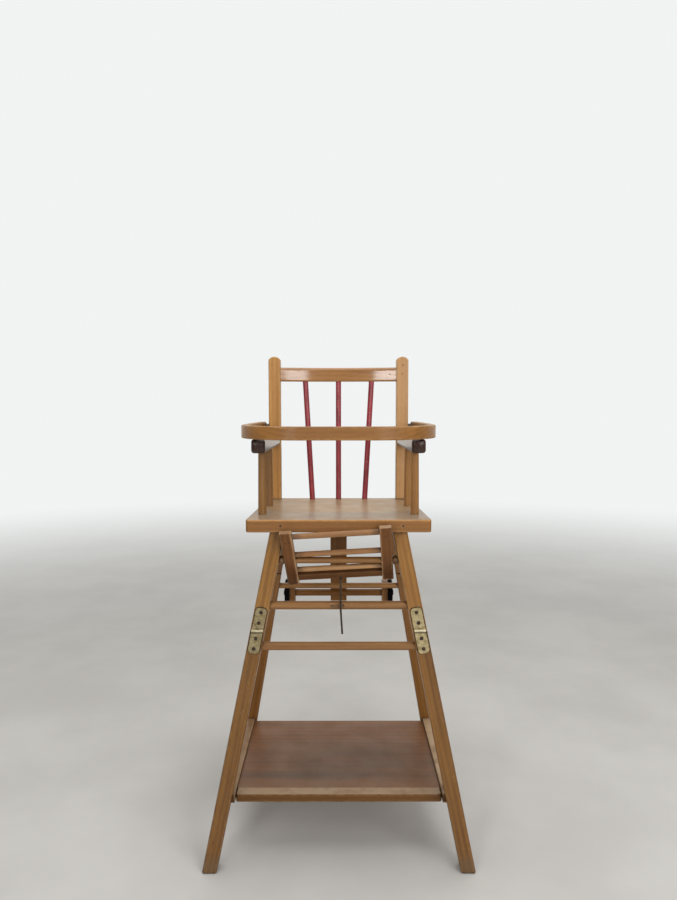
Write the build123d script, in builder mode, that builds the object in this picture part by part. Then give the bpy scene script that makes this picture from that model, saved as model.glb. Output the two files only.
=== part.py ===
from build123d import *
import os
from math import asin, atan, cos, degrees, radians, sin, sqrt, tan

# Wooden high chair whose legs are cut at mid height: the lower frame swings forward and up on two
# brass hinges, and the chair becomes a low seat on wheels with its shelf as a play table.
# The front faces -Y and the floor is Z = 0. Left and right are as seen from the front. Millimetres.

# Fits
glue_gap = 0.05
running_gap = 0.06
moving_gap = 0.4

# Seat board
seat_top = 647.0
seat_thickness = 23.2
seat_front_width = 334.0
seat_rear_width = 308.0
seat_depth = 285.0
seat_front_y = -170.0
seat_corner = 6.0
seat_edge_round = 2.2
seat_bottom = seat_top - seat_thickness
seat_rear_y = seat_front_y + seat_depth

# Legs: slopes are sideways or fore-and-aft travel for each millimetre of height
front_leg_width = 27.0
front_leg_depth = 30.0
front_foot_x = 236.6
front_leg_set_back = 30.0
front_splay = 0.2011
front_rake = 0.0607
rear_leg_width = 24.0
rear_leg_depth = 26.0
rear_foot_set_in = 14.0
rear_leg_set_in = 55.3
rear_splay = 0.178
rear_rake = 0.22
leg_edge_round = 4.0
foot_round = 3.0
leg_tenon_radius = 7.0
leg_tenon_length = 12.0

# Cuts through the legs
hinge_height = 443.7
front_cut_gap = 0.6
rear_cut_above_hinge = 44.3
rear_cut_gap = 3.0
stud_radius = 7.0
stud_shank_radius = 3.0
stud_shank_length = 18.0

# Round rungs
rung_radius = 7.6
rung_end_wall = 0.8
upper_rung_above_hinge = 41.6
lower_rung_below_hinge = 33.1
rear_rung_radius = 6.0
rear_rung_below_cut = 31.0

# Back
post_set_in_side = 4.6
post_set_in_rear = 1.0
post_width = 25.5
post_depth = 24.0
post_height = 306.6
post_crown = 7.2
post_edge_round = 3.0
post_tenon_radius = 8.0
post_tenon_length = 14.0
rail_below_post_top = 22.6
rail_height = 30.0
rail_thickness = 16.0
rail_bow = 18.0
rail_edge_round = 3.5
rail_top_round = 7.0
rail_tenon_radius = 5.0
rail_tenon_length = 10.0
back_spindle_radius = 5.75
back_spindle_seat_x = 56.0
back_spindle_rail_x = 72.0
back_spindle_set_forward = 4.0
back_spindle_socket = 9.0

# Arms
arm_set_out_front = 7.75
arm_set_out_rear = 1.2
arm_size = 25.5
arm_above_seat = 143.5
arm_set_back = 10.0
arm_corner = 5.6
arm_front_round = 5.2
arm_tenon_radius = 5.0
arm_tenon_length = 12.0
arm_spindle_set_back = 64.0
arm_spindle_spacing = 102.0
arm_spindle_top_radius = 7.0
arm_spindle_foot_radius = 8.0
arm_spindle_tenon_radius = 5.0
arm_spindle_tenon_length = 10.0

# Guard hoop
hoop_overhang = 40.0
hoop_flare = 14.0
hoop_thickness = 13.0
hoop_height = 24.0
hoop_bend_radius = 117.0
hoop_end_round = 11.5
hoop_edge_round = 2.5
pivot_bolt_radius = 3.0
pivot_bolt_depth = 15.0
pivot_head_radius = 6.5
pivot_head_height = 3.5
pivot_collar_radius = 7.5
pivot_collar_length = 5.1

# Swinging footrest: a small ladder that hangs on a dowel, racked a little on it
footrest_dowel_radius = 6.0
footrest_dowel_below_seat = 55.7
footrest_seat_gap = 1.9
footrest_side_gap = 9.8
footrest_rack = 4.5
stick_width = 21.0
stick_thickness = 16.0
stick_above_dowel = 79.4
stick_top_slope = 30.0
stick_below_dowel = 51.5
stick_edge_round = 2.5
step_socket = 9.0
top_step_radius = 5.25
middle_step_radius = 5.1
top_step_offset = 67.0
upper_middle_step_offset = 20.2
lower_middle_step_offset = -19.8
slat_offset = -38.3
slat_height = 14.0
slat_thickness = 10.0
slat_edge_round = 2.0
footrest_sleeve_radius = 8.0

# Wire latch on the upper front rung
hook_x = 3.5
hook_stand_off = 6.9
hook_above_rung = 2.2
hook_wire_radius = 1.8
hook_eye_radius = 5.0
hook_rise_share = 0.552
hook_drop = 51.0
hook_foot_drift = 3.0
hook_bend_radius = 6.0
hook_tip = 6.0
staple_radius = 1.5
staple_left_x = -13.0
staple_right_x = 9.0
staple_bend_radius = 3.0
staple_bite = 8.0

# Wheel carriage under the seat
axle_rung_radius = 7.5
strut_width = 36.0
strut_thickness = 15.0
strut_below_axle = 20.4
strut_set_in = 1.3
strut_edge_round = 2.0
strut_tenon_width = 24.0
strut_tenon_thickness = 7.0
strut_tenon_length = 9.0
cheek_inner_x = 97.5
cheek_thickness = 12.0
cheek_depth = 34.0
cheek_height = 54.0
cheek_corner = 8.0
wheel_radius = 30.0
wheel_width = 10.0
wheel_side_gap = 0.5
tyre_depth = 9.0
tyre_round = 4.0
disc_width = 8.0
wheel_bolt_radius = 3.0
wheel_bolt_grip = 30.0
wheel_bolt_head_radius = 6.0
wheel_bolt_head_height = 2.5

# Shelf between the lower legs
shelf_top = 125.0
shelf_thickness = 16.0
shelf_front_gap = 8.0
shelf_rear_gap = 0.8
shelf_edging_width = 22.0
shelf_edge_round = 3.0
shelf_corner = 4.0
stretcher_thickness = 16.0
stretcher_height = 16.0
stretcher_above_shelf = 6.0
stretcher_set_in = 5.4
stretcher_tenon = 3.0
stretcher_edge_round = 2.0
shelf_screw_set_in = 65.0
shelf_screw_length = 36.0

# Brass strap hinges
leaf_width = 20.5
leaf_length = 42.0
leaf_thickness = 2.0
leaf_corner = 7.0
leaf_clear_of_axis = 4.0
knuckle_radius = 3.2
knuckle_gap = 0.4
hinge_pin_radius = 1.5
hinge_screw_near = 14.0
hinge_screw_far = 33.0
screw_shank_radius = 1.7
screw_head_radius = 3.6
screw_length = 18.0
screw_slot_width = 0.8
screw_slot_depth = 0.7

# Nails through the front edge of the seat
left_nail_x = 104.0
right_nail_x = 115.5
nail_radius = 2.0
nail_length = 22.0

# Places that follow from the sizes above
front_foot_y = seat_front_y + front_leg_set_back - front_rake * seat_bottom
rear_foot_x = front_foot_x - rear_foot_set_in
rear_foot_y = seat_rear_y - rear_leg_set_in + rear_rake * seat_bottom
rear_cut_height = hinge_height + rear_cut_above_hinge
rung_socket = front_leg_width / 2 - screw_shank_radius - rung_end_wall
upper_rung_height = hinge_height + upper_rung_above_hinge
lower_rung_height = hinge_height - lower_rung_below_hinge
rear_rung_height = rear_cut_height - rear_rung_below_cut
footrest_dowel_height = seat_bottom - footrest_dowel_below_seat

sides = (("left", -1), ("right", 1))
os.makedirs("parts", exist_ok=True)


def front_leg_x(height):
    return front_foot_x - front_splay * height


def front_leg_y(height):
    return front_foot_y + front_rake * height


def rear_leg_x(height):
    return rear_foot_x - rear_splay * height


def rear_leg_y(height):
    return rear_foot_y - rear_rake * height


def keep(piece, name):
    """Label a finished piece and write its STEP file."""
    piece.part.label = name
    export_step(piece.part, f"parts/{name}.step")


def rod(start, end, radius, mode=Mode.ADD):
    """Add or cut a round rod from start to end in the piece being built."""
    run = Vector(*end) - Vector(*start)
    axis = Plane(origin=start, z_dir=run)
    with Locations(axis.location):
        Cylinder(radius, run.length, align=(Align.CENTER, Align.CENTER, Align.MIN), mode=mode)


def block(centre, size, mode=Mode.ADD):
    """Add or cut a square block in the piece being built."""
    with Locations(centre):
        Box(*size, mode=mode)


# Places that several pieces share
nail_places = (-left_nail_x, right_nail_x)
nail_height = seat_bottom + seat_thickness / 2
post_x = seat_rear_width / 2 - post_set_in_side - post_width / 2
post_y = seat_rear_y - post_set_in_rear - post_depth / 2
post_top = seat_top + post_height
post_front_y = post_y - post_depth / 2
post_inner_x = post_x - post_width / 2
post_outer_x = post_x + post_width / 2
arm_front_x = post_x + arm_set_out_front
arm_rear_x = post_x + arm_set_out_rear
arm_top = seat_top + arm_above_seat
arm_front_y = seat_front_y + arm_set_back
arm_bottom = arm_top - arm_size
arm_mid = arm_top - arm_size / 2
arm_spindle_front_y = seat_front_y + arm_spindle_set_back
arm_spindle_rear_y = arm_spindle_front_y + arm_spindle_spacing
rail_bottom = post_top - rail_below_post_top - rail_height
rail_mid = rail_bottom + rail_height / 2
rail_radius = (post_inner_x**2 + rail_bow**2) / (2 * rail_bow)
back_spindle_seat_y = post_y - back_spindle_set_forward
hoop_front_y = seat_front_y - hoop_overhang
hoop_end_inner_x = post_outer_x + pivot_collar_length + moving_gap
hoop_end_half_width = hoop_end_inner_x + hoop_thickness
hoop_half_width = hoop_end_half_width + hoop_flare
hoop_bottom = arm_top + moving_gap
pivot_height = hoop_bottom + hoop_height / 2
hinge_x = front_leg_x(hinge_height)
hinge_face_y = front_leg_y(hinge_height) - front_leg_depth / 2
hinge_axis_y = hinge_face_y - knuckle_radius - moving_gap
upper_rung_y = front_leg_y(upper_rung_height)
lower_rung_y = front_leg_y(lower_rung_height)
rear_rung_y = rear_leg_y(rear_rung_height)
dowel_y = front_leg_y(footrest_dowel_height)
hook_y = upper_rung_y - rung_radius - hook_stand_off
hook_height = upper_rung_height + hook_above_rung
hook_rise = hook_rise_share * (footrest_dowel_height - hook_height)
axle_height = hinge_height - rear_cut_above_hinge + wheel_radius
strut_top_y = seat_rear_y - strut_set_in - strut_thickness
strut_tenon_y = strut_top_y + strut_thickness / 2
axle_y = strut_top_y + rear_rake * (seat_bottom - axle_height)
strut_foot = axle_height - strut_below_axle
cheek_outer_x = cheek_inner_x + cheek_thickness
wheel_inner_x = cheek_outer_x + wheel_side_gap
wheel_outer_x = wheel_inner_x + wheel_width
stretcher_top = shelf_top + stretcher_above_shelf
stretcher_mid = stretcher_top - stretcher_height / 2
shelf_screw_height = (shelf_top + stretcher_top - stretcher_height) / 2
stretcher_mid_x = (front_leg_x(stretcher_mid) + rear_leg_x(stretcher_mid)) / 2 - stretcher_set_in
stretcher_inner_x = stretcher_mid_x - stretcher_thickness / 2
stretcher_outer_x = stretcher_mid_x + stretcher_thickness / 2
stretcher_front_y = front_leg_y(stretcher_mid) + front_leg_depth / 2 - stretcher_tenon
stretcher_rear_y = rear_leg_y(stretcher_mid) - rear_leg_depth / 2 + stretcher_tenon
shelf_half_width = stretcher_inner_x - glue_gap
shelf_front_y = front_leg_y(shelf_top) + front_leg_depth / 2 + shelf_front_gap
shelf_rear_y = rear_leg_y(shelf_top) - rear_leg_depth / 2 - shelf_rear_gap
shelf_screw_front_y = shelf_front_y + shelf_screw_set_in
shelf_screw_rear_y = shelf_rear_y - shelf_screw_set_in


def arm_x(y):
    """Middle of an arm at a place along it, as the arms spread towards the front."""
    return arm_rear_x + (arm_front_x - arm_rear_x) * (post_front_y - y) / (post_front_y - arm_front_y)


def rail_y(x):
    """Middle of the bowed back rail at a place along it."""
    return post_y + rail_bow - rail_radius + sqrt(rail_radius**2 - x**2)


def back_spindle_ends(side):
    """Lower and upper end of one back spindle, inside its sockets."""
    upper_x = side * back_spindle_rail_x
    lower = (side * back_spindle_seat_x, back_spindle_seat_y, seat_top - back_spindle_socket)
    upper = (upper_x, rail_y(upper_x), rail_bottom + back_spindle_socket)
    return lower, upper


def front_socket_x(height):
    """Reach of a rung's end inside a front leg."""
    return front_leg_x(height) - front_leg_width / 2 + rung_socket


def rear_socket_x(height):
    """Reach of a rung's end inside a rear leg."""
    return rear_leg_x(height) - rear_leg_width / 2 + rung_socket


def hinge_plane(side):
    """Front face of a front leg at the hinge, local Y up along the leg and Z out of the face."""
    return Plane((side * hinge_x, hinge_face_y, hinge_height), (1, 0, 0), (0, -1, front_rake))


def hinge_screw_places(side, half):
    """Where the two screws of one leaf go, on the hinge plane of that side."""
    plane = hinge_plane(side)
    drift = -side * front_splay / sqrt(1 + front_rake**2)
    steps = [half * hinge_screw_near, half * hinge_screw_far]
    return [plane.location * Location((drift * step, step, 0)) for step in steps]


# Plane of the footrest ladder, local Y up along its sticks and Z out of its front. Its lean brings
# the sticks close to the lower front edge of the seat.
seat_edge_ahead = dowel_y - seat_front_y
seat_edge_reach = sqrt(seat_edge_ahead**2 + footrest_dowel_below_seat**2)
lean_angle = atan(seat_edge_ahead / footrest_dowel_below_seat) + asin(
    (stick_thickness / 2 + footrest_seat_gap) / seat_edge_reach
)
leg_inner_at_dowel = front_leg_x(footrest_dowel_height) - front_leg_width / 2
stick_half_spacing = leg_inner_at_dowel - footrest_side_gap - stick_width / 2
rack_angle = radians(footrest_rack)
ladder_across = (
    cos(rack_angle),
    -sin(rack_angle) * sin(lean_angle),
    sin(rack_angle) * cos(lean_angle),
)
ladder_front = (0, -cos(lean_angle), -sin(lean_angle))
ladder = Plane((0, dowel_y, footrest_dowel_height), ladder_across, ladder_front)


# Seat board, with a socket for everything that stands on it or hangs from it
with BuildPart() as seat_board:
    with BuildSketch(Plane.XY.offset(seat_bottom)) as seat_outline:
        with BuildLine():
            Polyline(
                (-seat_front_width / 2, seat_front_y),
                (seat_front_width / 2, seat_front_y),
                (seat_rear_width / 2, seat_rear_y),
                (-seat_rear_width / 2, seat_rear_y),
                close=True,
            )
        make_face()
        fillet(seat_outline.vertices(), seat_corner)
    extrude(amount=seat_thickness)
    fillet(seat_board.faces().filter_by(Axis.Z).edges(), seat_edge_round)
    for name, side in sides:
        post_foot = (side * post_x, post_y, seat_top - post_tenon_length)
        rod(post_foot, (side * post_x, post_y, seat_top), post_tenon_radius + glue_gap, Mode.SUBTRACT)
        for spindle_y in (arm_spindle_front_y, arm_spindle_rear_y):
            spindle_x = side * arm_x(spindle_y)
            rod(
                (spindle_x, spindle_y, seat_top - arm_spindle_tenon_length),
                (spindle_x, spindle_y, seat_top),
                arm_spindle_tenon_radius + glue_gap,
                Mode.SUBTRACT,
            )
        leg_tops = (
            (side * front_leg_x(seat_bottom), front_leg_y(seat_bottom)),
            (side * rear_leg_x(seat_bottom), rear_leg_y(seat_bottom)),
        )
        for leg_x, leg_y in leg_tops:
            rod(
                (leg_x, leg_y, seat_bottom),
                (leg_x, leg_y, seat_bottom + leg_tenon_length),
                leg_tenon_radius + glue_gap,
                Mode.SUBTRACT,
            )
    for nail_x in nail_places:
        nail_tip = (nail_x, seat_front_y + nail_length, nail_height)
        rod((nail_x, seat_front_y, nail_height), nail_tip, nail_radius + glue_gap, Mode.SUBTRACT)
    for side in (-1, 0, 1):
        lower, upper = back_spindle_ends(side)
        rod(lower, upper, back_spindle_radius + glue_gap, Mode.SUBTRACT)
    block(
        (0, strut_tenon_y, seat_bottom + strut_tenon_length / 2),
        (
            strut_tenon_width + 2 * glue_gap,
            strut_tenon_thickness + 2 * glue_gap,
            strut_tenon_length + 2 * glue_gap,
        ),
        Mode.SUBTRACT,
    )
keep(seat_board, "seat_board")

with BuildPart() as seat_nails:
    for nail_x in nail_places:
        nail_tip = (nail_x, seat_front_y + nail_length - glue_gap, nail_height)
        rod((nail_x, seat_front_y + moving_gap, nail_height), nail_tip, nail_radius)
keep(seat_nails, "seat_nails")

# Back posts, bowed rail and three spindles
for name, side in sides:
    with BuildPart() as back_post:
        left_x = side * post_x - post_width / 2
        right_x = side * post_x + post_width / 2
        shoulder = post_top - post_crown
        with BuildSketch(Plane.XZ.offset(-post_front_y)):
            with BuildLine():
                Polyline((left_x, shoulder), (left_x, seat_top), (right_x, seat_top), (right_x, shoulder))
                ThreePointArc((right_x, shoulder), (side * post_x, post_top), (left_x, shoulder))
            make_face()
        extrude(amount=-post_depth)
        long_edges = back_post.faces().filter_by(Axis.Y).edges()
        fillet(long_edges.filter_by(lambda edge: edge.center().Z > seat_top + 1), post_edge_round)
        rod(
            (side * post_x, post_y, seat_top - post_tenon_length + glue_gap),
            (side * post_x, post_y, seat_top + post_tenon_length),
            post_tenon_radius,
        )
        rod(
            (side * post_inner_x, post_y, rail_mid),
            (side * (post_inner_x + rail_tenon_length), post_y, rail_mid),
            rail_tenon_radius + glue_gap,
            Mode.SUBTRACT,
        )
        rod(
            (side * arm_rear_x, post_front_y, arm_mid),
            (side * arm_rear_x, post_front_y + arm_tenon_length, arm_mid),
            arm_tenon_radius + glue_gap,
            Mode.SUBTRACT,
        )
        rod(
            (side * (post_outer_x - pivot_bolt_depth), post_y, pivot_height),
            (side * post_outer_x, post_y, pivot_height),
            pivot_bolt_radius + glue_gap,
            Mode.SUBTRACT,
        )
    keep(back_post, f"back_post_{name}")

with BuildPart() as back_rail:
    with BuildSketch(Plane.XY.offset(rail_bottom)):
        with BuildLine():
            front_end_y = post_y - rail_thickness / 2
            rear_end_y = post_y + rail_thickness / 2
            ThreePointArc(
                (-post_inner_x, front_end_y), (0, front_end_y + rail_bow), (post_inner_x, front_end_y)
            )
            Line((post_inner_x, front_end_y), (post_inner_x, rear_end_y))
            ThreePointArc(
                (post_inner_x, rear_end_y), (0, rear_end_y + rail_bow), (-post_inner_x, rear_end_y)
            )
            Line((-post_inner_x, rear_end_y), (-post_inner_x, front_end_y))
        make_face()
    extrude(amount=rail_height)
    rail_rims = back_rail.edges().filter_by(GeomType.CIRCLE).sort_by(Axis.Z)
    fillet(rail_rims[:2] + rail_rims[2:].sort_by(Axis.Y)[1:], rail_edge_round)
    rail_rims = back_rail.edges().filter_by(GeomType.CIRCLE)
    fillet(rail_rims.group_by(Axis.Z)[-1].sort_by(Axis.Y)[0], rail_top_round)
    for side in (-1, 1):
        rod(
            (side * (post_inner_x - rail_tenon_length), post_y, rail_mid),
            (side * (post_inner_x + rail_tenon_length - glue_gap), post_y, rail_mid),
            rail_tenon_radius,
        )
    for side in (-1, 0, 1):
        lower, upper = back_spindle_ends(side)
        rod(lower, upper, back_spindle_radius + glue_gap, Mode.SUBTRACT)
keep(back_rail, "back_rail")

for name, side in (("left", -1), ("centre", 0), ("right", 1)):
    lower, upper = back_spindle_ends(side)
    with BuildPart() as back_spindle:
        rod(lower, upper, back_spindle_radius)
    keep(back_spindle, f"back_spindle_{name}")

# Arms, each on two slightly tapered spindles
for name, side in sides:
    with BuildPart() as arm:
        arm_front = (side * arm_front_x, arm_front_y, arm_mid)
        arm_way = (side * (arm_rear_x - arm_front_x), post_front_y - arm_front_y, 0)
        with BuildSketch(Plane(arm_front, (arm_way[1], -arm_way[0], 0), arm_way)):
            RectangleRounded(arm_size, arm_size, arm_corner)
        extrude(amount=post_front_y - arm_front_y + arm_size)
        fillet(arm.faces().sort_by(Axis.Y)[0].edges(), arm_front_round)
        block(
            (side * arm_rear_x, post_front_y + arm_size, arm_mid),
            (2 * arm_size, 2 * arm_size, 2 * arm_size),
            Mode.SUBTRACT,
        )
        rod(
            (side * arm_rear_x, post_front_y - arm_tenon_length, arm_mid),
            (side * arm_rear_x, post_front_y + arm_tenon_length - glue_gap, arm_mid),
            arm_tenon_radius,
        )
        for spindle_y in (arm_spindle_front_y, arm_spindle_rear_y):
            rod(
                (side * arm_x(spindle_y), spindle_y, arm_bottom),
                (side * arm_x(spindle_y), spindle_y, arm_bottom + arm_spindle_tenon_length),
                arm_spindle_tenon_radius + glue_gap,
                Mode.SUBTRACT,
            )
    keep(arm, f"arm_{name}")

    for place, spindle_y in (("front", arm_spindle_front_y), ("rear", arm_spindle_rear_y)):
        spindle_x = side * arm_x(spindle_y)
        with BuildPart() as arm_spindle:
            with Locations((spindle_x, spindle_y, seat_top)):
                Cone(
                    arm_spindle_foot_radius,
                    arm_spindle_top_radius,
                    arm_bottom - seat_top,
                    align=(Align.CENTER, Align.CENTER, Align.MIN),
                )
            rod(
                (spindle_x, spindle_y, seat_top - arm_spindle_tenon_length + glue_gap),
                (spindle_x, spindle_y, arm_bottom + arm_spindle_tenon_length - glue_gap),
                arm_spindle_tenon_radius,
            )
        keep(arm_spindle, f"arm_spindle_{place}_{name}")

# Bent guard hoop that lies on the arms and turns on two bolts in the back posts
bend_start_x = hoop_half_width - hoop_bend_radius
bend_end_y = hoop_front_y + hoop_bend_radius
hoop_end_y = post_y + hoop_height / 2
with BuildPart() as guard_hoop:
    with BuildSketch(Plane.XY.offset(hoop_bottom)):
        with BuildLine():
            for inset in (0, hoop_thickness):
                Line((0, hoop_front_y + inset), (bend_start_x, hoop_front_y + inset))
                JernArc(
                    (bend_start_x, hoop_front_y + inset), (1, 0), hoop_bend_radius - inset, 90
                )
                TangentArc(
                    (hoop_half_width - inset, bend_end_y),
                    (hoop_end_half_width - inset, hoop_end_y),
                    tangent=(0, 1),
                )
            Line((hoop_end_half_width, hoop_end_y), (hoop_end_inner_x, hoop_end_y))
            mirror(about=Plane.YZ)
        make_face()
    extrude(amount=hoop_height)
    hoop_ends = guard_hoop.edges().filter_by(Axis.X).filter_by(
        lambda edge: edge.center().Y > hoop_end_y - 1
    )
    fillet(hoop_ends, hoop_end_round)
    hoop_rims = guard_hoop.faces().filter_by(Axis.Z).edges()
    fillet(hoop_rims.filter_by(lambda edge: edge.length > hoop_height), hoop_edge_round)
    for side in (-1, 1):
        rod(
            (side * (hoop_end_inner_x - hoop_thickness), post_y, pivot_height),
            (side * (hoop_half_width + hoop_thickness), post_y, pivot_height),
            pivot_bolt_radius + running_gap,
            Mode.SUBTRACT,
        )
keep(guard_hoop, "guard_hoop")

with BuildPart() as guard_pivot_bolts:
    for side in (-1, 1):
        head_x = hoop_end_half_width + moving_gap + hoop_edge_round
        rod(
            (side * (post_outer_x - pivot_bolt_depth + glue_gap), post_y, pivot_height),
            (side * (head_x + pivot_head_height), post_y, pivot_height),
            pivot_bolt_radius,
        )
        rod(
            (side * head_x, post_y, pivot_height),
            (side * (head_x + pivot_head_height), post_y, pivot_height),
            pivot_head_radius,
        )
        rod(
            (side * post_outer_x, post_y, pivot_height),
            (side * (post_outer_x + pivot_collar_length), post_y, pivot_height),
            pivot_collar_radius,
        )
keep(guard_pivot_bolts, "guard_pivot_bolts")

# Upper legs, glued under the seat
for name, side in sides:
    foot = hinge_height + front_cut_gap / 2
    lean = Vector(-side * front_splay, front_rake, 1)
    with BuildPart() as upper_front_leg:
        with BuildSketch(Plane.XY.offset(foot)):
            with Locations((side * front_leg_x(foot), front_leg_y(foot))):
                Rectangle(front_leg_width, front_leg_depth)
        extrude(amount=(seat_bottom - foot) * lean.length, dir=lean)
        fillet(upper_front_leg.edges().filter_by(Axis((0, 0, 0), lean)), leg_edge_round)
        leg_top = (side * front_leg_x(seat_bottom), front_leg_y(seat_bottom))
        rod(
            (*leg_top, seat_bottom - leg_tenon_length),
            (*leg_top, seat_bottom + leg_tenon_length - glue_gap),
            leg_tenon_radius,
        )
        for height, y, radius in (
            (upper_rung_height, upper_rung_y, rung_radius),
            (footrest_dowel_height, dowel_y, footrest_dowel_radius),
        ):
            rod(
                (side * (front_socket_x(height) - front_leg_width), y, height),
                (side * front_socket_x(height), y, height),
                radius + glue_gap,
                Mode.SUBTRACT,
            )
        with Locations(*hinge_screw_places(side, 1)):
            Hole(screw_shank_radius + glue_gap, screw_length)
    keep(upper_front_leg, f"upper_front_leg_{name}")

    foot = rear_cut_height + rear_cut_gap / 2
    lean = Vector(-side * rear_splay, -rear_rake, 1)
    with BuildPart() as upper_rear_leg:
        with BuildSketch(Plane.XY.offset(foot)):
            with Locations((side * rear_leg_x(foot), rear_leg_y(foot))):
                Rectangle(rear_leg_width, rear_leg_depth)
        extrude(amount=(seat_bottom - foot) * lean.length, dir=lean)
        fillet(upper_rear_leg.edges().filter_by(Axis((0, 0, 0), lean)), leg_edge_round)
        leg_top = (side * rear_leg_x(seat_bottom), rear_leg_y(seat_bottom))
        rod(
            (*leg_top, seat_bottom - leg_tenon_length),
            (*leg_top, seat_bottom + leg_tenon_length - glue_gap),
            leg_tenon_radius,
        )
    keep(upper_rear_leg, f"upper_rear_leg_{name}")

# Lower legs, with housings for the stretchers
for name, side in sides:
    housing_centre = (
        side * (stretcher_inner_x + stretcher_outer_x) / 2,
        (stretcher_front_y + stretcher_rear_y) / 2,
        stretcher_mid,
    )
    housing_size = (
        stretcher_thickness + 2 * glue_gap,
        stretcher_rear_y - stretcher_front_y + 2 * glue_gap,
        stretcher_height + 2 * glue_gap,
    )
    top = hinge_height - front_cut_gap / 2
    lean = Vector(-side * front_splay, front_rake, 1)
    with BuildPart() as lower_front_leg:
        with BuildSketch(Plane.XY):
            with Locations((side * front_foot_x, front_foot_y)):
                Rectangle(front_leg_width, front_leg_depth)
        extrude(amount=top * lean.length, dir=lean)
        fillet(lower_front_leg.edges().filter_by(Axis((0, 0, 0), lean)), leg_edge_round)
        fillet(lower_front_leg.faces().sort_by(Axis.Z)[0].edges(), foot_round)
        rod(
            (side * (front_socket_x(lower_rung_height) - front_leg_width), lower_rung_y, lower_rung_height),
            (side * front_socket_x(lower_rung_height), lower_rung_y, lower_rung_height),
            rung_radius + glue_gap,
            Mode.SUBTRACT,
        )
        block(housing_centre, housing_size, Mode.SUBTRACT)
        with Locations(*hinge_screw_places(side, -1)):
            Hole(screw_shank_radius + glue_gap, screw_length)
    keep(lower_front_leg, f"lower_front_leg_{name}")

    top = rear_cut_height - rear_cut_gap / 2
    lean = Vector(-side * rear_splay, -rear_rake, 1)
    with BuildPart() as lower_rear_leg:
        with BuildSketch(Plane.XY):
            with Locations((side * rear_foot_x, rear_foot_y)):
                Rectangle(rear_leg_width, rear_leg_depth)
        extrude(amount=top * lean.length, dir=lean)
        fillet(lower_rear_leg.edges().filter_by(Axis((0, 0, 0), lean)), leg_edge_round)
        fillet(lower_rear_leg.faces().sort_by(Axis.Z)[0].edges(), foot_round)
        rod(
            (side * (rear_socket_x(rear_rung_height) - rear_leg_width), rear_rung_y, rear_rung_height),
            (side * rear_socket_x(rear_rung_height), rear_rung_y, rear_rung_height),
            rear_rung_radius + glue_gap,
            Mode.SUBTRACT,
        )
        rod(
            (side * rear_leg_x(top), rear_leg_y(top), top - stud_shank_length),
            (side * rear_leg_x(top), rear_leg_y(top), top),
            stud_shank_radius + glue_gap,
            Mode.SUBTRACT,
        )
        block(housing_centre, housing_size, Mode.SUBTRACT)
    keep(lower_rear_leg, f"lower_rear_leg_{name}")

# Studs on the lower rear legs, which the upper rear legs rest on
with BuildPart() as rear_leg_studs:
    for side in (-1, 1):
        top = rear_cut_height - rear_cut_gap / 2
        stud_place = (side * rear_leg_x(top), rear_leg_y(top))
        rod((*stud_place, top - stud_shank_length + glue_gap), (*stud_place, top), stud_shank_radius)
        rod((*stud_place, top), (*stud_place, top + rear_cut_gap - moving_gap), stud_radius)
keep(rear_leg_studs, "rear_leg_studs")

# Rungs between the legs
rungs = (
    ("upper_front_rung", front_socket_x(upper_rung_height), upper_rung_y, upper_rung_height, rung_radius),
    ("lower_front_rung", front_socket_x(lower_rung_height), lower_rung_y, lower_rung_height, rung_radius),
    ("lower_rear_rung", rear_socket_x(rear_rung_height), rear_rung_y, rear_rung_height, rear_rung_radius),
    (
        "footrest_dowel",
        front_socket_x(footrest_dowel_height),
        dowel_y,
        footrest_dowel_height,
        footrest_dowel_radius,
    ),
)
for name, reach, y, height, radius in rungs:
    with BuildPart() as rung:
        rod((-reach + glue_gap, y, height), (reach - glue_gap, y, height), radius)
        if name == "upper_front_rung":
            for staple_x in (staple_left_x, staple_right_x):
                rod(
                    (staple_x, y - radius, hook_height),
                    (staple_x, y - radius + staple_bite, hook_height),
                    staple_radius + glue_gap,
                    Mode.SUBTRACT,
                )
    keep(rung, name)

# Footrest ladder: two sticks that turn on the dowel, three round steps and a flat slat
steps = (
    ("footrest_top_step", top_step_offset, top_step_radius),
    ("footrest_upper_step", upper_middle_step_offset, middle_step_radius),
    ("footrest_lower_step", lower_middle_step_offset, middle_step_radius),
)
step_reach = stick_half_spacing - stick_width / 2 + step_socket
for name, side in sides:
    with BuildPart() as stick:
        with BuildSketch(ladder):
            with Locations((side * stick_half_spacing, -stick_below_dowel)):
                Rectangle(
                    stick_width,
                    stick_below_dowel + stick_above_dowel + stick_thickness,
                    align=(Align.CENTER, Align.MIN),
                )
        extrude(amount=stick_thickness / 2, both=True)
        fillet(stick.edges().filter_by(Axis((0, 0, 0), ladder.y_dir)), stick_edge_round)
        stick_top = Location((side * stick_half_spacing, stick_above_dowel, 0), (-stick_top_slope, 0, 0))
        with Locations(ladder.location * stick_top):
            Box(
                2 * stick_width,
                3 * stick_thickness,
                4 * stick_thickness,
                align=(Align.CENTER, Align.MIN, Align.CENTER),
                mode=Mode.SUBTRACT,
            )
        rod(
            (side * (stick_half_spacing - stick_width), dowel_y, footrest_dowel_height),
            (side * (stick_half_spacing + stick_width), dowel_y, footrest_dowel_height),
            footrest_dowel_radius + running_gap,
            Mode.SUBTRACT,
        )
        for step_name, offset_up, radius in steps:
            rod(
                ladder.from_local_coords((0, offset_up, 0)),
                ladder.from_local_coords((side * step_reach, offset_up, 0)),
                radius + glue_gap,
                Mode.SUBTRACT,
            )
        with Locations(ladder.location * Location((0, slat_offset, 0))):
            Box(
                2 * step_reach,
                slat_height + 2 * glue_gap,
                slat_thickness + 2 * glue_gap,
                mode=Mode.SUBTRACT,
            )
    keep(stick, f"footrest_stick_{name}")

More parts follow.
